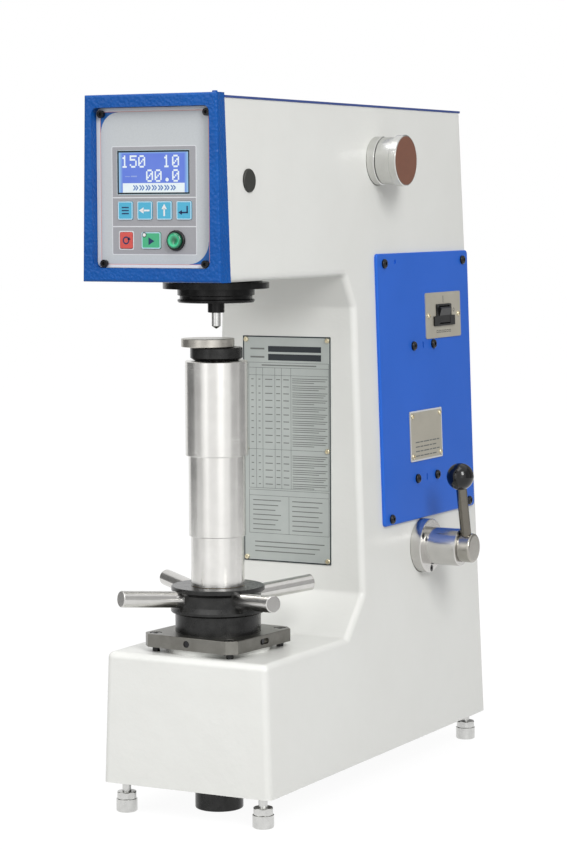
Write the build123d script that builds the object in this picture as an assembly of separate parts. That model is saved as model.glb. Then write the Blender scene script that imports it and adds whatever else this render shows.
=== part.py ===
from build123d import *
import math
import os

# Digital Rockwell hardness tester, bench model.
# Millimetres, +Z up. The origin is on the test axis (screw and indenter), level with the feet.
# -Y faces the operator, +X is the operator's right.

# ---------------------------------------------------------------- driving dimensions

# casting
base_width = 171.0          # across the underside
base_length = 461.7         # front to rear along the underside
base_height = 118.5         # underside to the deck that carries the capstan
base_front = 60.9           # test axis to the front of the underside
foot_height = 28.0          # floor to the underside
head_bottom = 478.5         # underside of the head
head_height = 155.5         # underside to the rim of the open head
head_front = 97.8           # test axis to the head's front face
throat_depth = 133.0        # test axis to the column
deck_slope = 36.0           # 45 degree slope between deck and column
brow_rise = 29.5            # slope between column and head, along Z
brow_run = 16.0             # the same slope, along Y
side_draft = 0.034          # each side leans in by this much per mm of height
rear_draft = 0.031
nose_draft = 0.011
wall = 9.0                  # casting wall
edge_round = 6.0

# covers and plates
lid_thickness = 2.0
lid_overhang = 0.6
lid_screw_radius = 4.0
cover_thickness = 3.0       # blue side cover
cover_length = 206.0
cover_height = 257.0
cover_middle_y = 279.5
cover_lever_gap = 0.5       # lever flange to the lower edge of the cover
cover_margin = 16.0         # lip that the side cover rests on
cover_screw_radius = 4.4
cover_screw_inset_y = 14.3
cover_screw_inset_top = 9.5
cover_screw_inset_foot = 6.2
bracket_screw_gap = 44.5    # the two screw pairs that hold the inner bracket
bracket_screw_rise = 64.0   # each pair above or below their middle
bracket_shift_y = -7.4      # from the middle of the cover
bracket_shift_z = -25.2
label_thickness = 0.8
data_plate_width = 93.0
data_plate_height = 213.5
data_plate_middle = 314.5
name_plate_length = 72.3
name_plate_height = 48.6
name_plate_shift_y = -7.8   # from the middle of the cover
name_plate_rise = 80.3      # middle of the plate above the cover's lower edge
switch_plate_length = 81.0
switch_plate_height = 44.6
switch_plate_shift_y = 39.5
switch_plate_drop = 62.3    # middle of the plate below the cover's upper edge
switch_length = 34.0        # upper part of the switch's frame
switch_foot_length = 47.0   # wider lower part
switch_foot_height = 9.6
switch_height = 21.0
switch_depth = 26.0
rocker_height = 17.0
rocker_length = 24.0
rocker_tilt = 9.0           # either way from level
rocker_pivot_depth = 2.0    # below the face of the switch plate
rocker_valley = 1.7

# display housing
bezel_depth = 14.3
bezel_half_top = 65.6       # half width of the front outline at its top
bezel_half_bottom = 68.3
bezel_rise = 4.2            # stands this far above the casting rim
window_half = 58.2
window_foot = 11.8          # lower edge of the window above the underside of the head
window_head = 6.7           # upper edge of the window below the rim
window_round = 5.5
panel_setback = 8.0         # panel face behind the bezel face
panel_thickness = 3.0
panel_screw_radius = 3.3
lcd_half = 36.0
lcd_height = 37.4
lcd_x = -1.6
lcd_rise = 13.7             # lower edge of the screen above the upper key row
key_size = 14.6
key_row_rise = 25.5         # upper key row above the lower one
key_pitch = 19.4
reset_x = -28.6
start_x = -3.6
start_width = 18.8
low_key_height = 14.0
low_row_rise = 23.7         # lower key row above the lower edge of the window
button_x = 21.0
button_radius = 8.8
cap_radius = 6.9
key_proud = 0.8
key_gap = 0.3
key_travel = 0.5
button_proud = 5.0
cap_depth = 3.6             # button below the panel face
board_thickness = 1.6

# test axis, from the bottom up
guard_outer = 21.8
guard_wall = 3.0
guard_clearance = 1.5       # guard above the floor
screw_radius = 18.0
screw_bottom = 8.0
running_fit = 0.05
deck_boss_radius = 47.0
deck_boss_height = 4.9
seat_half = 50.0            # square seat plate
seat_corner = 8.0
seat_thickness = 11.6
seat_turn = -5.0            # the plate is clamped slightly turned on the deck
thrust_radius = 38.5
thrust_height = 17.2
turn_gap = 0.3
capstan_rim_radius = 42.3
capstan_rim_height = 2.8
capstan_flare = 4.2         # rim runs up into the drum over this height
capstan_drum_radius = 38.8
capstan_drum_height = 10.0  # straight part of the drum
capstan_bevel = 2.8         # underside of the flange
capstan_flange_radius = 42.0
capstan_flange_height = 3.7
bar_radius = 7.4
bar_reach = 98.0            # test axis to the end of a bar
bar_root = 27.0             # test axis to the inner end
bar_rise = 10.0             # where the bars' lines cross the test axis, above the capstan's foot
bar_turn = 59.0
bar_tilt = 5.0              # ends higher than the roots
nut_radius = 24.0
nut_skirt = 42.0            # below the capstan
lower_tube_radius = 23.9
middle_tube_radius = 25.6
upper_tube_radius = 28.2
tube_gap = 0.4
tube_wall_thin = 1.4
upper_tube_length = 84.7
middle_tube_length = 82.0
lower_tube_length = 54.0
middle_tube_bottom = 249.0
upper_tube_top = 405.8
tube_cap = 3.0
anvil_radius = 23.4
anvil_neck_radius = 19.2
anvil_neck_height = 2.6
anvil_height = 9.4
stem_radius = 8.0
stem_length = 22.0
block_radius = 23.8
block_height = 7.6
block_offset_x = -6.7
block_offset_y = -3.6
seat_gap = 0.3

# indenter and shroud
tip_drop = 44.5             # all drops are below the underside of the head
indenter_radius = 4.1
indenter_cone = 2.6
indenter_shank_radius = 3.2
indenter_shank_length = 14.0
nose_radius = 7.5
nose_drop = 30.0
nose_length = 12.0
spindle_radius = 10.0
spindle_rise = 61.5
shroud_drop = 20.8
shroud_radius = 47.4
shroud_ring_radius = 34.4
shroud_groove_radius = 32.4
guide_radius = 18.0
guide_rise = 49.5
guide_flange_radius = 27.0
guide_flange_height = 7.0
boss_height = 14.0          # pad inside the head that carries guide, bridge and sensor
bridge_seat_radius = 42.0
sensor_wall_gap = 4.0       # depth sensor to the casting wall
sensor_leg_gap = 2.0        # depth sensor to the bridge
sensor_length = 34.0
sensor_height = 30.0

# loading gear inside head and column
beam_half_width = 8.0
beam_height = 16.0
fulcrum_arm = 16.0          # fulcrum to test axis
fulcrum_pin_radius = 4.0
bridge_leg = 8.0
hanger_y = 261.0
weight_radius = 58.0
weight_heights = (42.0, 34.0, 28.0)
weight_gap = 0.4
weight_floor = 292.0
rod_radius = 7.0
dashpot_y = 336.0
dashpot_radius = 22.0
dashpot_bore = 18.0
dashpot_bottom = 96.0
dashpot_height = 108.0
piston_rod_radius = 4.0

# loading lever, right side
lever_z = 214.0
lever_flange_radius = 26.0
lever_flange_height = 11.5
lever_screw_radius = 3.2    # heads of the flange screws
lever_sleeve_radius = 18.0
lever_sleeve_end = 122.1
lever_hub_radius = 14.0
lever_hub_end = 135.2
lever_shaft_radius = 9.0
lever_rod_radius = 5.1
lever_rod_inset = 5.2       # middle of the rod from the hub's inner end
lever_length = 72.4         # shaft to the middle of the ball
lever_lean = 13.4           # rest position, towards the operator
lever_ball_radius = 13.0
cam_top = 26.0              # cam radius under the roller with the lever up
cam_drop = 7.24             # cam radius lost per radian of the lever
cam_half_width = 6.0
roller_radius = 3.0
cam_gap = 0.7

# load selector knob, right side
selector_y = 189.0
selector_cam_gap = 8.0      # cam above the beam
selector_ring_radius = 22.6
selector_ring_height = 8.5
selector_knob_radius = 22.0
selector_rim_radius = 23.9
selector_rim_height = 7.5
selector_end = 97.0
selector_shaft_radius = 6.0
selector_cam_radius = 20.0

# small parts
foot_inset = 15.5
foot_pad_radius = 9.5
foot_pad_height = 11.5
foot_nut_across = 17.0
foot_nut_height = 6.7
foot_stud_radius = 4.0
stud_grip = 12.0
plug_radius = 10.2
plug_y = -60.6
plug_rise = 86.1            # above the underside of the head
plug_dome = 2.2
gland_x = -38.0
gland_z = 62.0
gland_bore = 3.5
screw_clearance = 0.1

# ---------------------------------------------------------------- derived places

base_bottom = foot_height
base_top = base_bottom + base_height
base_rear = base_length - base_front
head_top = head_bottom + head_height
seat_bottom = base_top + deck_boss_height
seat_top = seat_bottom + seat_thickness
thrust_top = seat_top + thrust_height
capstan_bottom = thrust_top + turn_gap
drum_bottom = capstan_bottom + capstan_rim_height + capstan_flare
drum_top = drum_bottom + capstan_drum_height
capstan_top = drum_top + capstan_bevel + capstan_flange_height
upper_tube_bore = middle_tube_radius + tube_gap
middle_tube_bore = lower_tube_radius + tube_gap
anvil_bottom = upper_tube_top
anvil_top = anvil_bottom + anvil_neck_height + anvil_height
block_bottom = anvil_top + seat_gap
boss_top = head_bottom + wall / 2 + boss_height
panel_face = -head_front - bezel_depth + panel_setback
panel_back = panel_face + panel_thickness
window_bottom = head_bottom + window_foot
window_top = head_top - window_head
window_middle = (window_top + window_bottom) / 2
low_row = window_bottom + low_row_rise
key_row = low_row + key_row_rise
lcd_bottom = key_row + lcd_rise
lcd_top = lcd_bottom + lcd_height
lcd_middle = (lcd_top + lcd_bottom) / 2
tip_height = head_bottom - tip_drop
nose_bottom = head_bottom - nose_drop
shroud_bottom = head_bottom - shroud_drop
guide_top = head_bottom + guide_rise
spindle_top = head_bottom + spindle_rise
plug_z = head_bottom + plug_rise
beam_bottom = spindle_top + seat_gap
beam_top = beam_bottom + beam_height
fulcrum_z = beam_bottom + beam_height / 2
bridge_inner = guide_flange_radius - 3.0
selector_z = beam_top + selector_cam_radius + selector_cam_gap
lever_rod_x = lever_sleeve_end + turn_gap + lever_rod_inset
cover_bottom = lever_z + lever_flange_radius + cover_lever_gap
cover_middle_z = cover_bottom + cover_height / 2
bracket_screw_y = cover_middle_y + bracket_shift_y
bracket_screw_z = cover_middle_z + bracket_shift_z
name_plate_y = cover_middle_y + name_plate_shift_y
name_plate_z = cover_bottom + name_plate_rise
switch_plate_y = cover_middle_y + switch_plate_shift_y
switch_plate_z = cover_bottom + cover_height - switch_plate_drop
shroud_flange_top = head_bottom - 3.0


def half_width(z):
    return base_width / 2 - side_draft * (z - base_bottom)


def rear_face(z):
    return base_rear - rear_draft * (z - base_bottom)


def side_plane(y, z):
    """The casting's right side at a point: local X runs to the rear, local Y up, Z outwards."""
    return Plane(origin=(half_width(z), y, z), x_dir=(0, 1, 0), z_dir=(1, 0, side_draft))


def upright(x, y, z):
    return Plane(origin=(x, y, z), x_dir=(1, 0, 0), z_dir=(0, 0, 1))


def facing_front(x, y, z):
    """Local X runs to the operator's right, local Y up, Z towards the operator."""
    return Plane(origin=(x, y, z), x_dir=(1, 0, 0), z_dir=(0, -1, 0))


def along_x(x, y, z):
    return Plane(origin=(x, y, z), x_dir=(0, 1, 0), z_dir=(1, 0, 0))


def turned(points):
    """A solid of revolution about the test axis from a half outline of (radius, height)."""
    outline = make_face(Plane.XZ * Polyline(*points, close=True))
    return revolve(outline, Axis.Z)


def rod(plane, radius, length):
    return plane * Cylinder(radius, length, align=(Align.CENTER, Align.CENTER, Align.MIN))


def slab(plane, width, height, thickness, corner=0.0):
    sketch = RectangleRounded(width, height, corner) if corner else Rectangle(width, height)
    return extrude(plane * sketch, thickness)


def button_screw(plane, radius, shank):
    """Domed head with a hexagon socket, seated on the plane, shank going inwards."""
    head_height = radius * 0.62
    head = rod(plane, radius, head_height)
    head = fillet(head.faces().sort_by(Axis(plane.origin, plane.z_dir))[-1].edges(), head_height * 0.55)
    socket = plane * Pos(0, 0, head_height * 0.45) * extrude(RegularPolygon(radius * 0.42, 6), head_height)
    return head - socket + rod(plane.offset(-shank), radius * 0.5, shank)


def flat_screw(plane, radius, depth, shank):
    """Countersunk screw, flush with the plane."""
    head = plane.offset(-depth) * Cone(radius * 0.5, radius, depth, align=(Align.CENTER, Align.CENTER, Align.MIN))
    socket = plane.offset(-depth * 0.6) * extrude(RegularPolygon(radius * 0.4, 6), depth)
    return head - socket + rod(plane.offset(-depth - shank), radius * 0.5, shank)


def flat_screw_hole(plane, radius, depth, shank):
    """Countersunk hole for the screw above, with clearance all round."""
    head = plane.offset(-depth) * Cone(radius * 0.5 + screw_clearance, radius + screw_clearance, depth,
                                       align=(Align.CENTER, Align.CENTER, Align.MIN))
    return head + rod(plane.offset(-depth - shank), radius * 0.5 + screw_clearance, shank)


def cap_screw(plane, radius, head_height, shank):
    """Socket cap screw whose head stands on the plane."""
    socket = plane * Pos(0, 0, head_height * 0.4) * extrude(RegularPolygon(radius * 0.5, 6), head_height)
    return rod(plane, radius, head_height) - socket + rod(plane.offset(-shank), radius * 0.6, shank)


# ---------------------------------------------------------------- screw positions

def side_cover_points():
    y_step = cover_length / 2 - cover_screw_inset_y
    rows = (cover_bottom + cover_screw_inset_foot, cover_bottom + cover_height - cover_screw_inset_top)
    points = [(cover_middle_y + a * y_step, z) for a in (-1, 1) for z in rows]
    points += [
        (bracket_screw_y + a * bracket_screw_gap / 2, bracket_screw_z + b * bracket_screw_rise)
        for a in (-1, 1)
        for b in (-1, 1)
    ]
    return points


def lid_points():
    y_front = -head_front + 14.0
    y_rear = rear_face(head_top) - 14.0
    x_step = half_width(head_top) - wall / 2
    return [(a * x_step, y) for a in (-1, 1) for y in (y_front, (y_front + y_rear) / 2, y_rear)]


def data_plate_points():
    x_step = data_plate_width / 2 - 3.5
    z_step = data_plate_height / 2 - 3.5
    return [(a * x_step, data_plate_middle + b * z_step) for a in (-1, 1) for b in (-1, 0, 1)]


def name_plate_points():
    y_step = name_plate_length / 2 - 5.0
    z_step = name_plate_height / 2 - 5.0
    return [(name_plate_y + a * y_step, name_plate_z + b * z_step) for a in (-1, 1) for b in (-1, 1)]


def switch_plate_points():
    y_step = switch_plate_length / 2 - 6.0
    return [(switch_plate_y - y_step, switch_plate_z), (switch_plate_y + y_step, switch_plate_z)]


def panel_points():
    top = (window_half - 5.9, window_top - 5.4)
    low = (window_half - 8.0, window_bottom + panel_screw_radius + 0.5)
    return [(a * x, z) for a in (-1, 1) for x, z in (top, low)]


def foot_points():
    x_step = base_width / 2 - foot_inset
    return [(a * x_step, y) for a in (-1, 1) for y in (-base_front + foot_inset, base_rear - foot_inset)]


def seat_points():
    step = seat_half - 10.0
    return [(a * step, b * step) for a in (-1, 1) for b in (-1, 1)]


def lever_screw_points():
    ring = (lever_flange_radius + lever_sleeve_radius) / 2
    angles = (30, 150, 270)
    return [(hanger_y + ring * math.cos(math.radians(a)), lever_z + ring * math.sin(math.radians(a)))
            for a in angles]


lever_seat_x = half_width(lever_z + lever_flange_radius)
selector_seat_x = half_width(selector_z + selector_ring_radius)
seat_frame = Location((0, 0, 0), (0, 0, seat_turn))
hood_screw_x = bezel_half_top - 5.6
hood_screw_y = -head_front - bezel_depth / 2


# ---------------------------------------------------------------- casting

def side_outline():
    nose = -base_front + nose_draft * base_height
    slope_foot = throat_depth - deck_slope
    brow_foot = head_bottom - brow_rise
    brow_head = throat_depth - brow_run
    return Polyline(
        (-base_front, base_bottom),
        (nose, base_top),
        (slope_foot, base_top),
        (throat_depth, base_top + deck_slope),
        (throat_depth, brow_foot),
        (brow_head, head_bottom),
        (-head_front, head_bottom),
        (-head_front, head_top),
        (rear_face(head_top), head_top),
        (base_rear, base_bottom),
        close=True,
    )


def drafted_prism(inset):
    """Everything between the two leaning side planes, moved inwards by the inset."""
    low = half_width(base_bottom - 20) - inset
    high = half_width(head_top + 20) - inset
    trapezium = Polyline(
        (-low, base_bottom - 20),
        (low, base_bottom - 20),
        (high, head_top + 20),
        (-high, head_top + 20),
        close=True,
    )
    return extrude(make_face(Plane.XZ * trapezium), base_length + head_front, both=True)


def casting_block():
    profile = make_face(side_outline())
    block = extrude(Plane.YZ * profile, base_width, both=True) & drafted_prism(0)

    def is_rounded(edge):
        middle = edge.center()
        on_rim = middle.Z < base_bottom + 0.1 or middle.Z > head_top - 0.1
        return not on_rim and middle.Y > -head_front + 0.1

    return fillet(block.edges().filter_by(is_rounded), edge_round)


def casting_cavity():
    profile = offset(make_face(side_outline()), -wall, kind=Kind.INTERSECTION)
    room = extrude(Plane.YZ * profile, base_width, both=True)
    belly = Pos(0, base_rear - base_length / 2, base_bottom) * Box(base_width, base_length - 2 * wall, 3 * wall)
    roof_length = rear_face(head_top) + head_front - 2 * wall
    roof = Pos(0, -head_front + wall + roof_length / 2, head_top) * Box(base_width, roof_length, 3 * wall)
    return (room + belly + roof) & drafted_prism(wall)


def casting_bosses():
    deck = rod(upright(0, 0, base_bottom + 14.0), nut_radius + 14.0, base_height - 14.0 - wall / 2)
    deck += rod(upright(0, 0, base_top - wall / 2), deck_boss_radius, deck_boss_height + wall / 2)
    spindle_boss = rod(upright(0, 0, head_bottom + wall / 2), bridge_seat_radius, boss_height)
    spindle_boss += slab(upright(-half_width(head_bottom) / 2, 0, head_bottom + wall / 2), half_width(head_bottom),
                         sensor_length + 6.0, boss_height)
    shelf_length = rear_face(dashpot_bottom) - dashpot_y + 26.0
    shelf = slab(upright(0, dashpot_y - 26.0 + shelf_length / 2, dashpot_bottom - 16.0), base_width, shelf_length, 8.0)
    lever_boss = rod(along_x(lever_seat_x - 22.0, hanger_y, lever_z), lever_sleeve_radius + 6.0, 18.0)
    selector_boss = rod(along_x(selector_seat_x - 20.0, selector_y, selector_z), 16.0, 16.0)
    feet = [rod(upright(x, y, base_bottom), foot_stud_radius + 7.0, stud_grip + 6.0) for x, y in foot_points()]
    bosses = deck + spindle_boss + lever_boss + selector_boss + shelf
    for foot in feet:
        bosses += foot
    rear_limit = Pos(0, rear_face(base_top) - wall / 2 - base_length, head_top / 2) * Box(
        2 * base_width, 2 * base_length, 2 * head_top)
    return bosses & drafted_prism(wall / 2) & rear_limit


def casting_cuts():
    cuts = [
        rod(upright(0, 0, base_bottom - 1), guard_outer, 54.0),
        rod(upright(0, 0, base_bottom), screw_radius + 2.5, base_height + 20.0),
        rod(upright(0, 0, capstan_bottom - nut_skirt - 3.0), nut_radius + 1.2, nut_skirt + 20.0),
        rod(upright(0, 0, head_bottom - 5.0), guide_radius, boss_height + wall + 10.0),
        rod(along_x(0, hanger_y, lever_z), lever_shaft_radius + 3.0, base_width / 2),
        rod(along_x(lever_seat_x, hanger_y, lever_z), lever_flange_radius + 0.6, 20.0),
        rod(along_x(0, selector_y, selector_z), selector_shaft_radius + 2.0, base_width / 2),
        rod(along_x(selector_seat_x, selector_y, selector_z), selector_ring_radius + 0.6, 20.0),
        rod(side_plane(plug_y, plug_z).offset(-30), plug_radius - 2.0, 40.0),
        rod(facing_front(gland_x, rear_face(gland_z) + 20.0, gland_z), 6.6, 40.0),
        rod(facing_front(gland_x, rear_face(gland_z) + 20.0, gland_z), 13.0, 20.0 + 0.6),
        slab(side_plane(cover_middle_y, cover_middle_z).offset(-30), cover_length - 2 * cover_margin,
             cover_height - 2 * cover_margin, 60.0, 10.0),
        slab(facing_front(0, -head_front + 30.0, window_middle), 2 * window_half - 22.0,
             window_top - window_bottom - 30.0, 60.0, 6.0),
    ]
    cuts += [rod(upright(x, y, head_top - 14.0), lid_screw_radius / 2 + screw_clearance, 20.0)
             for x, y in lid_points()]
    cuts += [rod(facing_front(x, -head_front + wall, z), 2.0 + screw_clearance, 20.0) for x, z in panel_points()]
    cuts += [rod(facing_front(x, throat_depth + 7.0, z), 1.2 + screw_clearance, 20.0)
             for x, z in data_plate_points()]
    cuts += [rod(side_plane(y, z).offset(-12), 2.3 + screw_clearance, 20.0) for y, z in side_cover_points()[:4]]
    cuts += [rod(upright(x, y, base_bottom - 1), foot_stud_radius + screw_clearance, stud_grip + 1.0)
             for x, y in foot_points()]
    cuts += [seat_frame * rod(upright(x, y, base_top - 8.0), 3.3 + screw_clearance, 30.0)
             for x, y in seat_points()]
    cuts += [rod(along_x(lever_seat_x - 8.0, y, z), 0.6 * lever_screw_radius + screw_clearance, 20.0)
             for y, z in lever_screw_points()]
    return cuts


def frame_casting():
    return casting_block() - casting_cavity() + casting_bosses() - casting_cuts()


# ---------------------------------------------------------------- covers, plates and feet

def top_cover():
    front = -head_front
    rear = rear_face(head_top) + lid_overhang
    width = 2 * (half_width(head_top) + lid_overhang)
    plate = slab(upright(0, (front + rear) / 2, head_top), width, rear - front, lid_thickness)
    plate = fillet(plate.edges().filter_by(Axis.Z).sort_by(Axis.Y)[-2:], 4.0)
    top = head_top + lid_thickness
    return plate - [flat_screw_hole(upright(x, y, top), lid_screw_radius, lid_thickness, 1.0) for x, y in lid_points()]


def lid_screws():
    top = head_top + lid_thickness
    lid = [flat_screw(upright(x, y, top), lid_screw_radius, lid_thickness, 10.0) for x, y in lid_points()]
    hood = button_screw(upright(hood_screw_x, hood_screw_y, head_top + bezel_rise), 2.4, 5.0)
    return Compound(children=lid + [hood])


def side_cover():
    plane = side_plane(cover_middle_y, cover_middle_z)
    plate = slab(plane, cover_length, cover_height, cover_thickness, 4.0)
    outer = plate.faces().sort_by(Axis(plane.origin, plane.z_dir))[-1]
    plate = fillet(outer.edges(), 1.4)
    plate -= [rod(side_plane(y, z).offset(-5), 2.3 + screw_clearance, 20.0) for y, z in side_cover_points()]
    plate -= [rod(side_plane(y, z).offset(-5), 1.2 + screw_clearance, 20.0)
              for y, z in name_plate_points() + switch_plate_points()]
    switch_hole = slab(side_plane(switch_plate_y, switch_plate_z).offset(-10), switch_length + 0.4,
                       switch_height + 0.4, 30.0)
    slots = [slab(side_plane(bracket_screw_y, bracket_screw_z + b * bracket_screw_rise).offset(-5), 2.4, 6.6, 20.0, 1.1)
             for b in (-1, 1)]
    corner_y, corner_z = side_cover_points()[1]
    dimple = rod(side_plane(corner_y + 23.8, corner_z + 1.2).offset(cover_thickness - 1.0), 2.2, 5.0)
    return plate - switch_hole - slots - dimple


def side_cover_screws():
    return Compound(children=[
        button_screw(side_plane(y, z).offset(cover_thickness), cover_screw_radius, 10.0) for y, z in side_cover_points()
    ])


def switch_plate():
    plane = side_plane(switch_plate_y, switch_plate_z).offset(cover_thickness)
    plate = slab(plane, switch_plate_length, switch_plate_height, label_thickness, 2.0)
    plate -= slab(plane.offset(-5), switch_length + 0.4, switch_height + 0.4, 20.0)
    return plate - [rod(side_plane(y, z).offset(-2), 1.2 + screw_clearance, 20.0)
                    for y, z in switch_plate_points()]


def switch_body():
    plane = side_plane(switch_plate_y, switch_plate_z).offset(cover_thickness + label_thickness)
    body = slab(plane.offset(-switch_depth), switch_length, switch_height, switch_depth + 1.2, 1.5)
    foot = plane * Pos(0, (switch_foot_height - switch_height) / 2, 0) * slab(
        Plane.XY, switch_foot_length, switch_foot_height, 1.8, 0.8)
    well = slab(plane.offset(-10.0), rocker_length + 0.8, rocker_height + 0.8, 20.0)
    return body + foot - well


def power_rocker():
    """Rocker whose ends are arcs about its pivot, resting with its lower half pressed in."""
    plane = side_plane(switch_plate_y, switch_plate_z).offset(cover_thickness + label_thickness)
    rise = math.tan(math.radians(rocker_tilt)) * rocker_height
    barrel = Circle(rocker_height / 2)
    top = rocker_valley + rocker_pivot_depth
    outline = make_face(Polyline(
        (-rocker_height, -rocker_height * 0.3),
        (rocker_height, -rocker_height * 0.3),
        (rocker_height, top + rise),
        (0, top),
        (-rocker_height, top + rise),
        close=True,
    ))
    pivot = plane.origin - plane.z_dir * rocker_pivot_depth
    side = Plane(origin=pivot, x_dir=plane.y_dir, z_dir=plane.x_dir)
    profile = side * Rot(0, 0, rocker_tilt) * (barrel & outline)
    return extrude(profile, rocker_length / 2, both=True)


def name_plate():
    plane = side_plane(name_plate_y, name_plate_z).offset(cover_thickness)
    plate = slab(plane, name_plate_length, name_plate_height, label_thickness, 1.5)
    return plate - [rod(side_plane(y, z), 1.2 + screw_clearance, 20.0) for y, z in name_plate_points()]


def data_plate():
    plate = slab(facing_front(0, throat_depth, data_plate_middle), data_plate_width, data_plate_height,
                 label_thickness, 2.0)
    return plate - [rod(facing_front(x, throat_depth + 3.0, z), 1.2 + screw_clearance, 10.0)
                    for x, z in data_plate_points()]


def label_screws():
    column = [button_screw(facing_front(x, throat_depth - label_thickness, z), 2.4, 6.0)
              for x, z in data_plate_points()]
    side = [button_screw(side_plane(y, z).offset(cover_thickness + label_thickness), 2.4, 3.6)
            for y, z in name_plate_points() + switch_plate_points()]
    return Compound(children=column + side)


def head_plug():
    plane = side_plane(plug_y, plug_z)
    cap = rod(plane, plug_radius, plug_dome)
    cap = fillet(cap.faces().sort_by(Axis(plane.origin, plane.z_dir))[-1].edges(), plug_dome * 0.8)
    skirt = rod(plane.offset(-wall - 2.0), plug_radius - 2.0, wall + 2.0)
    return cap + skirt - rod(plane.offset(-wall - 3.0), plug_radius - 4.0, wall + 2.0)


def leveling_feet():
    feet = []
    for x, y in foot_points():
        pad = rod(upright(x, y, 0), foot_pad_radius, foot_pad_height)
        pad = chamfer(pad.faces().sort_by(Axis.Z)[0].edges(), 1.0)
        neck = Pos(x, y, foot_pad_height) * Cone(
            foot_pad_radius - 2.0, foot_stud_radius, foot_nut_height, align=(Align.CENTER, Align.CENTER, Align.MIN))
        stud = rod(upright(x, y, foot_pad_height), foot_stud_radius,
                   foot_height - foot_pad_height + stud_grip - 0.5)
        feet.append(pad + stud)
    return Compound(children=feet)


def foot_nuts():
    nuts = []
    for x, y in foot_points():
        plane = upright(x, y, foot_pad_height)
        nut = extrude(plane * RegularPolygon(foot_nut_across / 2, 6, major_radius=False), foot_nut_height)
        cone = plane * Pos(0, 0, foot_nut_height) * Cone(
            foot_nut_across / 2 + 0.6, foot_stud_radius, 1.0, align=(Align.CENTER, Align.CENTER, Align.MIN))
        round_off = plane * Cylinder(foot_nut_across / 2 + 0.6, foot_nut_height,
                                     align=(Align.CENTER, Align.CENTER, Align.MIN))
        round_off = chamfer(round_off.edges().filter_by(GeomType.CIRCLE), 0.8)
        nuts.append((nut & round_off) - rod(plane, foot_stud_radius + screw_clearance, foot_nut_height))
    return Compound(children=nuts)


# ---------------------------------------------------------------- display and keys

def display_bezel():
    """Sheet housing round the display: a leaning outline at the casting, a squarer one in front."""
    top = head_top + bezel_rise

    def outline(half_top, half_bottom, y):
        points = [(-half_bottom, head_bottom), (half_bottom, head_bottom), (half_top, top), (-half_top, top)]
        return make_face(Plane(origin=(0, y, 0), x_dir=(1, 0, 0), z_dir=(0, -1, 0)) * Polyline(*points, close=True))

    back = outline(half_width(head_top) + 0.2, half_width(head_bottom) + 0.2, -head_front)
    front = outline(bezel_half_top, bezel_half_bottom, -head_front - bezel_depth)
    body = loft([back, front])
    body = fillet(body.faces().sort_by(Axis.Y)[0].edges(), 2.4)
    window = slab(facing_front(0, 0, window_middle), 2 * window_half, window_top - window_bottom, 200.0, window_round)
    return body - window - rod(upright(hood_screw_x, hood_screw_y, top - 5.0), 1.2 + screw_clearance, 10.0)


def key_outlines():
    """Name, middle X, middle Z, width and height of each key."""
    row = [("key_function", -1.5), ("key_left", -0.5), ("key_up", 0.5), ("key_enter", 1.5)]
    keys = [(name, step * key_pitch, key_row, key_size, key_size + 1.0) for name, step in row]
    keys.append(("key_reset", reset_x, low_row, key_size - 2.0, low_key_height))
    keys.append(("key_start", start_x, low_row, start_width, low_key_height))
    return keys


def panel_plate():
    plate = slab(facing_front(0, panel_back, window_middle), 2 * window_half - 2 * key_gap,
                 window_top - window_bottom - 2 * key_gap, panel_thickness, window_round - key_gap)
    cuts = [slab(facing_front(lcd_x, 0, lcd_middle), 2 * lcd_half, lcd_height, 200.0)]
    cuts += [slab(facing_front(x, 0, z), width + 2 * key_gap, height + 2 * key_gap, 200.0, 1.5 + key_gap)
             for _, x, z, width, height in key_outlines()]
    cuts.append(rod(facing_front(button_x, 0, low_row), button_radius - 1.0, 200.0))
    cuts += [rod(facing_front(x, 0, z), 2.0 + screw_clearance, 200.0) for x, z in panel_points()]
    for x, z in panel_points():
        plate += rod(facing_front(x, -head_front, z), panel_screw_radius, -head_front - panel_back)
    return plate - cuts


def panel_screws():
    screws = []
    for x, z in panel_points():
        plane = facing_front(x, panel_face, z)
        screws.append(cap_screw(plane, panel_screw_radius, 3.2, 9.0))
    return Compound(children=screws)


def lcd_screen():
    glass = slab(facing_front(lcd_x, panel_back, lcd_middle), 2 * lcd_half - 0.4, lcd_height - 0.4,
                 panel_thickness - 0.6)
    module = slab(facing_front(lcd_x, panel_back + 5.0, lcd_middle), 2 * lcd_half + 8.0, lcd_height + 8.0, 5.0)
    return glass + module


def control_board():
    y = panel_back + 5.0 + board_thickness
    board = slab(facing_front(0, y, window_middle), 2 * window_half - 26.0, window_top - window_bottom - 34.0,
                 board_thickness)
    chip_places = ((-key_pitch, low_row + 14.0), (key_pitch / 2, key_row + 6.0), (1.3 * key_pitch, low_row + 6.0))
    chips = [slab(facing_front(x, y + 3.0, z), 14.0, 9.0, 3.0) for x, z in chip_places]
    board -= [rod(facing_front(a * 2 * key_pitch, y + 10.0, low_row), 1.6, 20.0) for a in (-1, 1)]
    for chip in chips:
        board += chip
    return board


def button_collar():
    plane = facing_front(button_x, panel_face, low_row)
    ring = rod(plane, button_radius, 2.2)
    ring = fillet(ring.faces().sort_by(Axis.Y)[0].edges(), 0.9)
    barrel = rod(plane.offset(-6.0), button_radius - 1.05, 6.0)
    return ring + barrel - rod(plane.offset(-8.0), cap_radius + key_gap, 20.0)


def green_button():
    plane = facing_front(button_x, panel_face, low_row)
    cap = rod(plane.offset(-cap_depth), cap_radius, cap_depth + button_proud)
    cap = fillet(cap.faces().sort_by(Axis.Y)[0].edges(), 1.6)
    dish = plane * Pos(0, 0, button_proud + 6.5) * Sphere(8.0)
    return cap - dish


def key(x, z, width, height):
    plane = facing_front(x, panel_back, z)
    pad = slab(plane, width, height, panel_thickness + key_proud, 1.5)
    return fillet(pad.faces().sort_by(Axis.Y)[0].edges(), 0.5)


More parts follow.
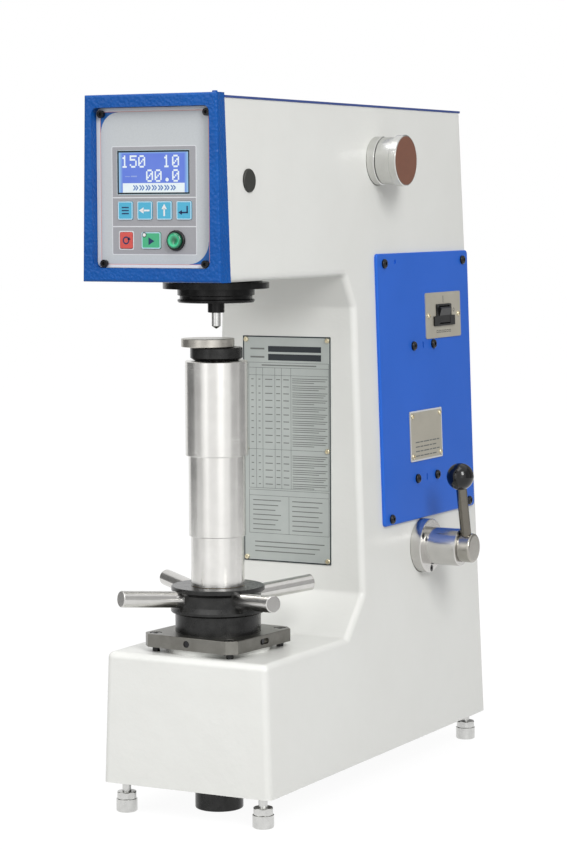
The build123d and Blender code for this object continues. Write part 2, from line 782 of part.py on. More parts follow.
# ---------------------------------------------------------------- elevating screw and capstan

def screw_guard():
    tube = rod(upright(0, 0, guard_clearance), guard_outer, base_bottom + 40.0 - guard_clearance)
    tube = fillet(tube.faces().sort_by(Axis.Z)[0].edges(), 1.5)
    return tube - rod(upright(0, 0, 0), guard_outer - guard_wall, 200.0)


def seat_plate():
    outline = chamfer(Rectangle(2 * seat_half, 2 * seat_half).vertices(), seat_corner)
    plate = extrude(upright(0, 0, seat_bottom) * outline, seat_thickness)
    plate = chamfer(plate.faces().sort_by(Axis.Z)[-1].edges(), 0.6)
    plate -= rod(upright(0, 0, seat_bottom), nut_radius + 1.2, seat_thickness)
    plate -= [rod(upright(x, y, seat_bottom), 3.3 + screw_clearance, 40.0) for x, y in seat_points()]
    plate -= [rod(upright(x, y, seat_top - 6.0), 5.5 + screw_clearance, 20.0) for x, y in seat_points()]
    middle = (seat_top + seat_bottom) / 2
    plate -= rod(facing_front(0, -seat_half + 18.0, middle), 3.0 + screw_clearance, 40.0)
    plate -= rod(along_x(seat_half - 18.0, 0, middle), 2.3 + screw_clearance, 40.0)
    plate -= slab(along_x(seat_half - 3.0, 0, middle), 13.5, 5.2, 10.0, 2.5)
    return seat_frame * plate


def socket_screws():
    """The plate's four hold-down screws, its two set screws and the lever flange's three screws."""
    middle = (seat_top + seat_bottom) / 2
    seat = [cap_screw(upright(x, y, seat_top - 6.0), 5.5, 5.6, 18.0) for x, y in seat_points()]
    seat.append(rod(facing_front(0, -seat_half + 14.0, middle), 3.0, 13.2))
    seat.append(rod(along_x(seat_half - 14.0, 0, middle), 2.3, 12.4))
    flange = [cap_screw(along_x(lever_seat_x + lever_flange_height - 4.0, y, z), lever_screw_radius, 3.8, 12.0)
              for y, z in lever_screw_points()]
    return Compound(children=[seat_frame * screw for screw in seat] + flange)


def thrust_ring():
    ring = rod(upright(0, 0, seat_top), thrust_radius, thrust_height)
    ring = chamfer(ring.faces().sort_by(Axis.Z)[-1].edges(), 0.8)
    return ring - rod(upright(0, 0, seat_top), nut_radius + 1.2, thrust_height)


def capstan_head():
    body = turned([
        (nut_radius, capstan_bottom),
        (capstan_rim_radius - 0.8, capstan_bottom),
        (capstan_rim_radius, capstan_bottom + 0.8),
        (capstan_rim_radius, capstan_bottom + capstan_rim_height),
        (capstan_drum_radius, drum_bottom),
        (capstan_drum_radius, drum_top),
        (capstan_flange_radius, drum_top + capstan_bevel),
        (capstan_flange_radius, capstan_top - 0.8),
        (capstan_flange_radius - 0.8, capstan_top),
        (nut_radius, capstan_top),
    ])
    return body - [rod(bar_axis(k), bar_radius, capstan_rim_radius) for k in range(4)]


def bar_axis(k):
    """Along bar k, starting inside the drum."""
    turn = math.radians(bar_turn + 90 * k)
    tilt = math.radians(bar_tilt)
    out = Vector(math.cos(turn) * math.cos(tilt), math.sin(turn) * math.cos(tilt), math.sin(tilt))
    start = Vector(0, 0, capstan_bottom + bar_rise) + out * (bar_root / math.cos(tilt))
    return Plane(origin=start, z_dir=out)


def capstan_bars():
    length = (bar_reach - bar_root) / math.cos(math.radians(bar_tilt))
    bars = []
    for k in range(4):
        bar = rod(bar_axis(k), bar_radius, length)
        bars.append(chamfer(bar.edges().filter_by(GeomType.CIRCLE), 0.7))
    return Compound(children=bars)


def lifting_nut():
    bottom = capstan_bottom - nut_skirt
    nut = rod(upright(0, 0, bottom), nut_radius, capstan_top - 1.0 - bottom)
    nut = chamfer(nut.faces().sort_by(Axis.Z)[0].edges(), 1.5)
    return nut - rod(upright(0, 0, bottom), screw_radius + running_fit, 200.0)


def elevating_screw():
    screw = rod(upright(0, 0, screw_bottom), screw_radius, upper_tube_top - tube_cap - screw_bottom)
    screw = chamfer(screw.faces().sort_by(Axis.Z)[0].edges(), 2.0)
    return screw - rod(upright(0, 0, upper_tube_top - stem_length - 1.0), stem_radius + running_fit, 40.0)


def cover_tube(bottom, length, radius, bore):
    tube = rod(upright(0, 0, bottom), radius, length)
    tube = chamfer(tube.faces().sort_by(Axis.Z)[0].edges(), 0.4)
    return tube - rod(upright(0, 0, bottom), bore, length)


def upper_cover_tube():
    bottom = upper_tube_top - upper_tube_length
    tube = cover_tube(bottom, upper_tube_length - tube_cap, upper_tube_radius, upper_tube_bore)
    cap = rod(upright(0, 0, upper_tube_top - tube_cap), upper_tube_radius, tube_cap)
    cap = chamfer(cap.faces().sort_by(Axis.Z)[-1].edges(), 0.8)
    return tube + cap - rod(upright(0, 0, bottom), stem_radius + running_fit, 200.0)


def middle_cover_tube():
    return cover_tube(middle_tube_bottom, middle_tube_length, middle_tube_radius, middle_tube_bore)


def lower_cover_tube():
    return cover_tube(capstan_top, lower_tube_length, lower_tube_radius, lower_tube_radius - tube_wall_thin)


def anvil():
    body = turned([
        (0, anvil_bottom - stem_length),
        (stem_radius, anvil_bottom - stem_length),
        (stem_radius, anvil_bottom),
        (anvil_neck_radius, anvil_bottom),
        (anvil_radius, anvil_bottom + anvil_neck_height),
        (anvil_radius, anvil_top - 0.8),
        (anvil_radius - 0.8, anvil_top),
        (0, anvil_top),
    ])
    return body


def test_block():
    block = rod(upright(block_offset_x, block_offset_y, block_bottom), block_radius, block_height)
    return chamfer(block.edges().filter_by(GeomType.CIRCLE), 0.5)


# ---------------------------------------------------------------- spindle and loading gear

def spindle_shroud():
    ring_top = shroud_bottom + 3.4
    groove_top = ring_top + 2.4
    collar_top = groove_top + 6.6
    return turned([
        (spindle_radius + 2.0, shroud_bottom),
        (shroud_ring_radius - 1.0, shroud_bottom),
        (shroud_ring_radius, shroud_bottom + 1.2),
        (shroud_ring_radius, ring_top - 0.8),
        (shroud_groove_radius, ring_top),
        (shroud_groove_radius, groove_top),
        (shroud_ring_radius, groove_top + 0.8),
        (shroud_ring_radius, collar_top),
        (shroud_radius, collar_top),
        (shroud_radius, shroud_flange_top),
        (shroud_radius - 6.0, shroud_flange_top),
        (shroud_radius - 6.0, head_bottom),
        (guide_radius, head_bottom),
        (guide_radius, ring_top + 1.0),
        (spindle_radius + 2.0, ring_top + 1.0),
    ])


def spindle_guide():
    flange_bottom = boss_top
    return turned([
        (spindle_radius + running_fit, head_bottom - 8.0),
        (guide_radius, head_bottom - 8.0),
        (guide_radius, flange_bottom),
        (guide_flange_radius, flange_bottom),
        (guide_flange_radius, flange_bottom + guide_flange_height),
        (guide_radius, flange_bottom + guide_flange_height),
        (guide_radius, guide_top),
        (spindle_radius + running_fit, guide_top),
    ])


def spindle():
    body = turned([
        (indenter_shank_radius, nose_bottom),
        (nose_radius - 0.6, nose_bottom),
        (nose_radius, nose_bottom + 0.6),
        (nose_radius, nose_bottom + nose_length),
        (spindle_radius, nose_bottom + nose_length),
        (spindle_radius, spindle_top - 1.5),
        (spindle_radius - 4.0, spindle_top),
        (0, spindle_top),
        (0, nose_bottom + indenter_shank_length),
        (indenter_shank_radius, nose_bottom + indenter_shank_length),
    ])
    return body


def indenter():
    return turned([
        (0, tip_height),
        (indenter_radius * 0.45, tip_height + indenter_cone * 0.4),
        (indenter_radius, tip_height + indenter_cone),
        (indenter_radius, nose_bottom),
        (indenter_shank_radius, nose_bottom),
        (indenter_shank_radius, nose_bottom + indenter_shank_length),
        (0, nose_bottom + indenter_shank_length),
    ])


def depth_sensor():
    """Encoder body between the bridge and the left wall, with an arm that reaches the guide."""
    near = bridge_inner + bridge_leg + sensor_leg_gap
    far = half_width(boss_top + sensor_height) - wall - sensor_wall_gap
    body = slab(upright(-(near + far) / 2, 0, boss_top), far - near, sensor_length, sensor_height, 3.0)
    arm_length = (near + far) / 2 - guide_radius + 2.0
    arm = slab(upright(-guide_radius + 2.0 - arm_length / 2, 0, guide_top - 10.0), arm_length, 10.0, 6.0)
    return body + arm - rod(upright(0, 0, head_bottom), guide_radius, 100.0)


def load_beam():
    """Weighing beam: a tapering bar on a fulcrum pin, with a saddle over the spindle."""
    half = beam_half_width
    rear = hanger_y + 14.0
    side = Polyline(
        (-fulcrum_arm - 9.0, beam_bottom),
        (24.0, beam_bottom),
        (rear, beam_bottom + 5.0),
        (rear, beam_top),
        (-fulcrum_arm - 9.0, beam_top),
        close=True,
    )
    beam = extrude(Plane.YZ * make_face(side), half, both=True)
    beam += slab(upright(0, 0, beam_bottom), 2 * half + 10.0, 24.0, beam_height - 4.0, 3.0)
    return beam - rod(along_x(-2 * half, -fulcrum_arm, fulcrum_z), fulcrum_pin_radius + running_fit, 4 * half)


def fulcrum_block():
    """Bridge over the front of the beam, with the pin that the beam rocks on."""
    y = -fulcrum_arm
    width = 2 * (bridge_inner + bridge_leg)
    clear = beam_top + 3.5
    bridge = slab(upright(0, y, boss_top), width, 16.0, clear + 10.5 - boss_top)
    bridge -= slab(upright(0, y, boss_top - 1), 2 * bridge_inner, 20.0, clear - boss_top + 1)
    bridge += rod(along_x(-width / 2, y, fulcrum_z), fulcrum_pin_radius, width)
    return bridge - rod(upright(0, 0, boss_top), guide_flange_radius + 0.3, guide_flange_height + 0.3)


def hanger_rod():
    """Stirrup over the beam, rod through the weights, tray, and the foot that rides on the cam."""
    half = beam_half_width + 2.0
    post = 5.0
    y = hanger_y
    top_gap = 0.8
    stirrup_bottom = beam_bottom - 34.0
    stirrup_top = beam_top + top_gap + 8.0
    stirrup = slab(upright(0, y, stirrup_bottom), 2 * (half + post), 8.0, stirrup_top - stirrup_bottom)
    stirrup -= slab(upright(0, y, stirrup_bottom + 8.0), 2 * half, 20.0, beam_top + top_gap - stirrup_bottom - 8.0)
    stem = rod(upright(0, y, weight_floor - 8.0), rod_radius, stirrup_bottom - weight_floor + 9.0)
    tray = slab(upright(0, (y + dashpot_y) / 2, weight_floor - 8.0), 26.0, dashpot_y - y + 26.0, 7.6, 8.0)
    roller_z = lever_z + cam_top + cam_gap + roller_radius
    foot = slab(upright(0, y, roller_z), 2 * cam_half_width + 4.0, 2 * roller_radius, weight_floor - 8.0 - roller_z)
    foot += rod(along_x(-cam_half_width - 2.0, y, roller_z), roller_radius, 2 * cam_half_width + 4.0)
    return stirrup + stem + tray + foot


def weight_stack():
    weights = []
    z = weight_floor
    for height in weight_heights:
        disc = rod(upright(0, hanger_y, z), weight_radius, height)
        disc = chamfer(disc.edges().filter_by(GeomType.CIRCLE), 2.0)
        weights.append(disc - rod(upright(0, hanger_y, z), rod_radius + 0.1, height))
        z += height + weight_gap
    return Compound(children=weights)


def dashpot_cylinder():
    y = dashpot_y
    body = rod(upright(0, y, dashpot_bottom), dashpot_radius, dashpot_height)
    body += slab(upright(0, y, dashpot_bottom - 8.0), 52.0, 48.0, 8.0, 6.0)
    body -= rod(upright(0, y, dashpot_bottom + 6.0), dashpot_bore, dashpot_height - 12.0)
    return body - rod(upright(0, y, dashpot_bottom), piston_rod_radius + running_fit, 200.0)


def dashpot_piston():
    low = dashpot_bottom + 42.0
    piston = rod(upright(0, dashpot_y, low), dashpot_bore - 0.08, 12.0)
    return piston + rod(upright(0, dashpot_y, low), piston_rod_radius, weight_floor - 8.0 - low)


# ---------------------------------------------------------------- loading lever and selector

def lever_flange():
    plane = along_x(lever_seat_x, hanger_y, lever_z)
    flange = rod(plane, lever_flange_radius, lever_flange_height)
    flange = chamfer(flange.edges().filter_by(GeomType.CIRCLE), 0.8)
    sleeve = rod(plane, lever_sleeve_radius, lever_sleeve_end - lever_seat_x)
    sleeve = chamfer(sleeve.faces().sort_by(Axis.X)[-1].edges(), 0.8)
    spigot = rod(plane.offset(-10.0), lever_shaft_radius + 2.9, 10.0)
    body = flange + sleeve + spigot - rod(plane.offset(-30.0), lever_shaft_radius + running_fit, 200.0)
    face = lever_seat_x + lever_flange_height
    body -= [rod(along_x(face - 4.0, y, z), lever_screw_radius + screw_clearance, 5.0)
             for y, z in lever_screw_points()]
    return body - [rod(along_x(face - 20.0, y, z), 0.6 * lever_screw_radius + screw_clearance, 20.0)
                   for y, z in lever_screw_points()]


def lever_shaft():
    """Turned shaft with the outer hub, and a spiral cam inside that lifts the weight hanger."""
    start = -cam_half_width - 4.0
    shaft = rod(along_x(start, hanger_y, lever_z), lever_shaft_radius, lever_hub_end - 2.0 - start)
    hub = rod(along_x(lever_sleeve_end + turn_gap, hanger_y, lever_z), lever_hub_radius,
              lever_hub_end - lever_sleeve_end - turn_gap)
    hub = fillet(hub.faces().sort_by(Axis.X)[-1].edges(), 2.0)
    return shaft + hub + cam_disc() - rod(lever_line(), lever_rod_radius, 40.0)


def lever_line():
    """From the shaft's axis along the hand lever as it rests."""
    lean = math.radians(lever_lean)
    return Plane(origin=(lever_rod_x, hanger_y, lever_z), x_dir=(1, 0, 0), z_dir=(0, -math.sin(lean), math.cos(lean)))


def cam_disc():
    """Radius falls evenly with angle, so the hanger sinks in step with the lever."""
    spread = math.radians(110)
    steps = 12
    points = []
    for k in range(steps + 1):
        lag = -math.radians(12) + (spread + math.radians(12)) * k / steps
        radius = cam_top - cam_drop * lag
        angle = math.pi / 2 + lag * -1
        points.append((radius * math.cos(angle), radius * math.sin(angle)))
    spiral = Spline(*points)
    first = points[0]
    last = points[-1]
    base = lever_shaft_radius + 3.0
    closing = Polyline(last, (base * 0.4, -base), (-base, -base * 0.4), first)
    face = make_face([spiral, closing])
    plane = along_x(-cam_half_width, hanger_y, lever_z)
    return extrude(plane * face, 2 * cam_half_width)


def lever_rod():
    return rod(lever_line(), lever_rod_radius, lever_length - 4.0)


def lever_knob():
    ball = lever_line() * Pos(0, 0, lever_length) * Sphere(lever_ball_radius)
    flat = slab(lever_line().offset(lever_length - 2 * lever_ball_radius), 40.0, 40.0, lever_ball_radius + 1.2)
    return ball - flat - rod(lever_line(), lever_rod_radius, lever_length - 4.0)


def selector_ring():
    plane = along_x(selector_seat_x, selector_y, selector_z)
    ring = rod(plane, selector_ring_radius, selector_ring_height)
    ring = chamfer(ring.edges().filter_by(GeomType.CIRCLE), 0.6)
    spigot = rod(plane.offset(-9.0), selector_shaft_radius + 1.9, 9.0)
    return ring + spigot - rod(plane.offset(-30.0), selector_shaft_radius + running_fit, 100.0)


def selector_knob():
    start = selector_seat_x + selector_ring_height + turn_gap
    plane = along_x(start, selector_y, selector_z)
    length = selector_end - start
    body = rod(plane, selector_knob_radius, length)
    body = chamfer(body.faces().sort_by(Axis.X)[0].edges(), 0.8)
    rim = rod(along_x(selector_end - selector_rim_height, selector_y, selector_z), selector_rim_radius,
              selector_rim_height)
    rim = chamfer(rim.edges().filter_by(GeomType.CIRCLE), 0.7)
    recess = rod(along_x(selector_end - 1.5, selector_y, selector_z), selector_rim_radius - 1.4, 5.0)
    return body + rim - recess - rod(plane, selector_shaft_radius, length - 6.0)


def knob_face():
    return rod(along_x(selector_end - 1.5, selector_y, selector_z), selector_rim_radius - 1.4, 1.7)


def selector_shaft():
    """Shaft from the knob to the selecting cam above the beam."""
    cam_x = -beam_half_width
    shaft = rod(along_x(cam_x, selector_y, selector_z), selector_shaft_radius, selector_end - 7.5 - cam_x)
    cam = rod(along_x(cam_x, selector_y, selector_z), selector_cam_radius, 2 * beam_half_width)
    notches = [rod(along_x(cam_x - 1, selector_y + selector_cam_radius * math.cos(math.radians(a)),
                           selector_z + selector_cam_radius * math.sin(math.radians(a))), 3.0, 40.0)
               for a in (30, 90, 150)]
    return shaft + (cam - notches)


def mains_gland():
    """Nylon cable gland at the back of the base, bored for the supply lead."""
    y = rear_face(gland_z) - 0.6
    plane = Plane(origin=(gland_x, y, gland_z), x_dir=(-1, 0, 0), z_dir=(0, 1, 0))
    flange = extrude(plane * RegularPolygon(11.0, 6), 5.0)
    dome = rod(plane.offset(5.0), 9.0, 13.0)
    dome = fillet(dome.faces().sort_by(Axis.Y)[-1].edges(), 4.0)
    thread = rod(plane.offset(-wall - 6.0), 6.5, wall + 6.0)
    nut = extrude(plane.offset(-wall - 4.5) * RegularPolygon(10.0, 6), 4.0)
    return flange + dome + thread + nut - rod(plane.offset(-60.0), gland_bore, 100.0)


# ---------------------------------------------------------------- export

def parts():
    found = {
        "frame_casting": frame_casting(),
        "top_cover": top_cover(),
        "lid_screws": lid_screws(),
        "display_bezel": display_bezel(),
        "panel_plate": panel_plate(),
        "panel_screws": panel_screws(),
        "lcd_screen": lcd_screen(),
        "control_board": control_board(),
        "button_collar": button_collar(),
        "side_cover": side_cover(),
        "side_cover_screws": side_cover_screws(),
        "switch_plate": switch_plate(),
        "switch_body": switch_body(),
        "power_rocker": power_rocker(),
        "name_plate": name_plate(),
        "data_plate": data_plate(),
        "label_screws": label_screws(),
        "head_plug": head_plug(),
        "leveling_feet": leveling_feet(),
        "foot_nuts": foot_nuts(),
        "screw_guard": screw_guard(),
        "seat_plate": seat_plate(),
        "socket_screws": socket_screws(),
        "thrust_ring": thrust_ring(),
        "capstan_head": capstan_head(),
        "capstan_bars": capstan_bars(),
        "lifting_nut": lifting_nut(),
        "elevating_screw": elevating_screw(),
        "upper_cover_tube": upper_cover_tube(),
        "middle_cover_tube": middle_cover_tube(),
        "lower_cover_tube": lower_cover_tube(),
        "anvil": anvil(),
        "test_block": test_block(),
        "spindle_shroud": spindle_shroud(),
        "spindle_guide": spindle_guide(),
        "spindle": spindle(),
        "indenter": indenter(),
        "depth_sensor": depth_sensor(),
        "load_beam": load_beam(),
        "fulcrum_block": fulcrum_block(),
        "hanger_rod": hanger_rod(),
        "weight_stack": weight_stack(),
        "dashpot_cylinder": dashpot_cylinder(),
        "dashpot_piston": dashpot_piston(),
        "lever_flange": lever_flange(),
        "lever_shaft": lever_shaft(),
        "lever_rod": lever_rod(),
        "lever_knob": lever_knob(),
        "selector_ring": selector_ring(),
        "selector_knob": selector_knob(),
        "knob_face": knob_face(),
        "selector_shaft": selector_shaft(),
        "mains_gland": mains_gland(),
        "green_button": green_button(),
    }
    for name, x, z, width, height in key_outlines():
        found[name] = key(x, z, width, height)
    return found


os.makedirs("parts", exist_ok=True)
for node, shape in parts().items():
    export_step(shape, f"parts/{node}.step")
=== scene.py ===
import math

import bmesh
import bpy
from mathutils import Matrix, Vector


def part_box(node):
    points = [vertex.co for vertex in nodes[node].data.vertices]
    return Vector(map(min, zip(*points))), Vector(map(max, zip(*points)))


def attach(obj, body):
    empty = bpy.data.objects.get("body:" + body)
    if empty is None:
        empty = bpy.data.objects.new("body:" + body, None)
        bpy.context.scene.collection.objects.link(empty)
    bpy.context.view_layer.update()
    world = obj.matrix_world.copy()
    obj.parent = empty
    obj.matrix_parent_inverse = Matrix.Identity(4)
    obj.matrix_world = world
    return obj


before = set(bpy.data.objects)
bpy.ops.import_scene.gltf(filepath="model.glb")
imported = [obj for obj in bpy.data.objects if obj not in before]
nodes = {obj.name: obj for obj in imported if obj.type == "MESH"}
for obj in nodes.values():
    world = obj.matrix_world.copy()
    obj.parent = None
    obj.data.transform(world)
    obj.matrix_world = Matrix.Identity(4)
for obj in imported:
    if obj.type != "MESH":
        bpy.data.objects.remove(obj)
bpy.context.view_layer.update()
print("frame loaded:", len(nodes), "nodes")


# small helpers for shader maths: a Wire is a socket that can be added, subtracted, multiplied and divided

class Wire:
    def __init__(self, shade, socket):
        self.shade = shade
        self.socket = socket

    def __add__(self, other):
        return self.shade.calc("ADD", self, other)

    def __sub__(self, other):
        return self.shade.calc("SUBTRACT", self, other)

    def __rsub__(self, other):
        return self.shade.calc("SUBTRACT", other, self)

    def __mul__(self, other):
        return self.shade.calc("MULTIPLY", self, other)

    def __truediv__(self, other):
        return self.shade.calc("DIVIDE", self, other)

    __radd__ = __add__
    __rmul__ = __mul__


class Shade:
    def __init__(self, name, **surface):
        self.material = bpy.data.materials.new(name)
        self.material.use_nodes = True
        self.tree = self.material.node_tree
        self.surface = self.tree.nodes["Principled BSDF"]
        self.paint(**surface)

    def set(self, node, name, value):
        socket = node.inputs[name]
        if isinstance(value, Wire):
            self.tree.links.new(value.socket, socket)
        elif socket.type == "RGBA":
            socket.default_value = (*value, 1.0)
        else:
            socket.default_value = value

    def node(self, kind, settings=None, inputs=None, output=0):
        made = self.tree.nodes.new(kind)
        for key, value in (settings or {}).items():
            if key == "stops":
                ramp = made.color_ramp
                while len(ramp.elements) < len(value):
                    ramp.elements.new(0.5)
                for element, (place, color) in zip(ramp.elements, value):
                    element.position = place
                    element.color = (*color, 1.0)
            else:
                setattr(made, key, value)
        for key, value in (inputs or {}).items():
            self.set(made, key, value)
        return Wire(self, made.outputs[output])

    def calc(self, operation, first, second=0.0):
        return self.node("ShaderNodeMath", {"operation": operation}, {0: first, 1: second})

    def place(self):
        return self.node("ShaderNodeTexCoord", output="Object")

    def placeParts(self):
        split = self.node("ShaderNodeSeparateXYZ", inputs={"Vector": self.place()})
        return [Wire(self, part) for part in split.socket.node.outputs]

    def stretched(self, scale, centre=(0.0, 0.0, 0.0)):
        offset = tuple(-c * s for c, s in zip(centre, scale))
        return self.node("ShaderNodeMapping", inputs={"Vector": self.place(), "Scale": scale, "Location": offset})

    def noise(self, vector, scale, detail=2.0, roughness=0.5):
        return self.node("ShaderNodeTexNoise", inputs={
            "Vector": vector, "Scale": scale, "Detail": detail, "Roughness": roughness})

    def cells(self, vector, scale, feature="F1"):
        return self.node("ShaderNodeTexVoronoi", {"feature": feature}, {"Vector": vector, "Scale": scale})

    def blend(self, factor, first, second):
        return self.node("ShaderNodeMix", {"data_type": "RGBA"}, {0: factor, 6: first, 7: second}, output=2)

    def between(self, value, low, high):
        return value * (high - low) + low

    def relief(self, height):
        bump = self.node("ShaderNodeBump", inputs={"Height": height, "Distance": 1.0, "Strength": 1.0})
        self.set(self.surface, "Normal", bump)

    def paint(self, **surface):
        for key, value in surface.items():
            self.set(self.surface, socketNames[key], value)


socketNames = {
    "color": "Base Color",
    "rough": "Roughness",
    "metal": "Metallic",
    "coat": "Coat Weight",
    "coatRough": "Coat Roughness",
    "specular": "Specular IOR Level",
    "glow": "Emission Color",
    "glowStrength": "Emission Strength",
}


# paints

def castPaint(look):
    shade = Shade("castPaint", rough=look["rough"], coat=look["coat"], coatRough=0.2, specular=0.4)
    at = shade.place()
    peel = shade.noise(at, look["peelScale"], 2.0, 0.5)
    filler = shade.noise(at, look["fillerScale"], 3.0, 0.55)
    soil = shade.noise(at, look["soilScale"], 4.0, 0.6)
    shade.paint(color=shade.blend(shade.between(soil, -0.2, 0.9), look["clean"], look["aged"]))
    shade.relief(peel * look["peelDepth"] + filler * look["fillerDepth"])
    return shade.material


def hammerPaint(look):
    shade = Shade("bezelPaint", rough=look["rough"], specular=look["specular"])
    at = shade.place()
    bubbles = shade.cells(at, look["cellScale"], "SMOOTH_F1")
    grain = shade.noise(at, look["grainScale"], 2.0, 0.6)
    patch = shade.noise(at, look["patchScale"], 2.0, 0.5)
    shade.paint(color=shade.blend(shade.between(patch, -0.3, 1.2), look["deep"], look["light"]))
    shade.relief(bubbles * look["cellDepth"] + grain * look["grainDepth"])
    return shade.material


def sheetPaint(name, look):
    shade = Shade(name, rough=look["rough"], specular=look["specular"])
    at = shade.place()
    grain = shade.noise(at, look["grainScale"], 2.0, 0.55)
    wave = shade.noise(at, look["waveScale"], 2.0, 0.5)
    shade.paint(color=shade.blend(wave, look["deep"], look["light"]))
    shade.relief(grain * look["grainDepth"] + wave * look["waveDepth"])
    return shade.material


# metals

def turnedMetal(name, look, axis="Z", centre=(0.0, 0.0, 0.0)):
    shade = Shade(name, metal=1.0)
    xyz = [part - middle for part, middle in zip(shade.placeParts(), centre)]
    along = xyz.pop("XYZ".index(axis))
    radius = shade.calc("SQRT", xyz[0] * xyz[0] + xyz[1] * xyz[1])
    rings = shade.node("ShaderNodeCombineXYZ", inputs={0: radius * look["ringScale"], 1: along * look["ringScale"]})
    groove = shade.noise(rings, 1.0, 2.0, 0.6)
    cloud = shade.noise(shade.place(), look["cloudScale"], 3.0, 0.6)
    shade.paint(
        color=shade.blend(cloud, look["dark"], look["light"]),
        rough=shade.between(groove, look["rough"] - 0.06, look["rough"] + 0.06) + shade.between(cloud, -0.05, 0.05),
    )
    shade.relief(groove * look["ringDepth"])
    return shade.material


def groundMetal(name, look, stretch=(900.0, 60.0, 900.0)):
    shade = Shade(name, metal=1.0)
    scratch = shade.noise(shade.stretched(stretch), 1.0, 3.0, 0.6)
    cloud = shade.noise(shade.place(), look["cloudScale"], 3.0, 0.65)
    shade.paint(
        color=shade.blend(cloud, look["dark"], look["light"]),
        rough=shade.between(scratch, look["rough"] - 0.08, look["rough"] + 0.08),
    )
    shade.relief(scratch * look["scratchDepth"])
    return shade.material


oxide = {"ringScale": 2600.0, "ringDepth": 0.00004, "rubScale": 90.0}


def blackenedMetal(name, look):
    shade = Shade(name, metal=look["metal"], rough=look["rough"], coat=look["coat"], coatRough=0.15, specular=0.25)
    x, y, z = shade.placeParts()
    radius = shade.calc("SQRT", x * x + y * y)
    rings = shade.node("ShaderNodeCombineXYZ", inputs={0: radius * oxide["ringScale"], 1: z * oxide["ringScale"]})
    groove = shade.noise(rings, 1.0, 2.0, 0.5)
    rub = shade.noise(shade.place(), oxide["rubScale"], 4.0, 0.65)
    shade.paint(
        color=shade.blend(shade.between(rub, -0.5, 1.3), look["deep"], look["worn"]),
        rough=shade.between(rub, look["rough"] - 0.08, look["rough"] + 0.1),
    )
    shade.relief(groove * oxide["ringDepth"])
    return shade.material


# plastics, labels and the rest

speckle = {"scale": 700.0, "darker": 0.86}


def smoothPlastic(name, color, rough, coat=0.0, grainDepth=0.00002):
    shade = Shade(name, coat=coat, coatRough=0.08, specular=0.35)
    speck = shade.noise(shade.place(), speckle["scale"], 2.0, 0.5)
    shadeColor = tuple(c * speckle["darker"] for c in color)
    shade.paint(
        color=shade.blend(speck, shadeColor, color),
        rough=shade.between(speck, rough - 0.03, rough + 0.03))
    shade.relief(speck * grainDepth)
    return shade.material


def labelMetal(name, look):
    shade = Shade(name, metal=look["metal"], coat=look["coat"], coatRough=0.15)
    brush = shade.noise(shade.stretched(look["brush"]), 1.0, 2.0, 0.6)
    cloud = shade.noise(shade.place(), look["cloudScale"], 3.0, 0.6)
    shade.paint(
        color=shade.blend(cloud, look["dark"], look["light"]),
        rough=shade.between(brush, look["rough"] - 0.06, look["rough"] + 0.08),
    )
    shade.relief(brush * look["brushDepth"])
    return shade.material


def laminate(look):
    shade = Shade("brownLaminate", coat=0.15, coatRough=0.3)
    weave = shade.noise(shade.place(), look["weaveScale"], 3.0, 0.7)
    blot = shade.noise(shade.place(), look["blotScale"], 3.0, 0.6)
    shade.paint(
        color=shade.blend(weave * 0.7 + blot * 0.3, look["dark"], look["light"]),
        rough=shade.between(weave, 0.38, 0.6),
    )
    shade.relief(weave * look["weaveDepth"])
    return shade.material


def screenGlow(look):
    shade = Shade("screenGlow", rough=0.12, coat=0.5, coatRough=0.05)
    x, _, z = shade.placeParts()
    fromSide = shade.calc("ABSOLUTE", x - look["middle"]) / look["half"]
    fromFoot = (z - look["bottom"]) / (look["top"] - look["bottom"])
    edge = shade.calc("MAXIMUM", fromSide, shade.calc("ABSOLUTE", fromFoot * 2.0 - 1.0))
    rim = shade.node("ShaderNodeMapRange", inputs={
        "Value": edge, "From Min": look["rimFrom"], "From Max": 1.0, "To Min": 0.0, "To Max": 1.0})
    uneven = shade.noise(shade.place(), look["unevenScale"], 2.0, 0.5)
    body = shade.blend(uneven, look["deep"], look["violet"])
    color = shade.blend(rim, body, look["rim"])
    shade.paint(color=(0.02, 0.03, 0.06), glow=color, glowStrength=look["strength"])
    return shade.material


def buttonWithPaintedLight(look):
    shade = Shade("buttonGreenPaintedLight", rough=look["rough"], coat=look["coat"], coatRough=0.1)
    x, _, z = shade.placeParts()
    x, z = x - look["axis"][0], z - look["axis"][1]
    reach = shade.calc("SQRT", x * x + z * z) / look["radius"]
    # the ramp paints a bright reflection ring round the dish, with painted shade in the dish centre and towards the
    # rim, over the green cap colour
    shade.paint(color=shade.node("ShaderNodeValToRGB", {"stops": look["rings"]}, {"Fac": reach}))
    return shade.material


steelLight = (0.80, 0.79, 0.765)
steelDark = (0.68, 0.67, 0.645)

paints = {
    "cast": castPaint({
        "rough": 0.38, "coat": 0.3, "clean": (0.80, 0.805, 0.775), "aged": (0.735, 0.735, 0.70),
        "peelScale": 420.0, "peelDepth": 0.00008, "fillerScale": 34.0, "fillerDepth": 0.0006,
        "soilScale": 9.0}),
    "bezel": hammerPaint({
        "rough": 0.36, "specular": 0.22, "deep": (0.001, 0.068, 0.30), "light": (0.002, 0.092, 0.375),
        "cellScale": 420.0, "cellDepth": 0.0006, "grainScale": 900.0, "grainDepth": 0.0001, "patchScale": 30.0}),
    "cover": sheetPaint("coverPaint", {
        "rough": 0.42, "specular": 0.25, "deep": (0.014, 0.115, 0.56), "light": (0.022, 0.140, 0.66),
        "grainScale": 650.0, "grainDepth": 0.00006, "waveScale": 14.0, "waveDepth": 0.00015}),
    "lid": sheetPaint("lidPaint", {
        "rough": 0.45, "specular": 0.25, "deep": (0.03, 0.06, 0.22), "light": (0.05, 0.085, 0.28),
        "grainScale": 600.0, "grainDepth": 0.00006, "waveScale": 14.0, "waveDepth": 0.00015}),
}
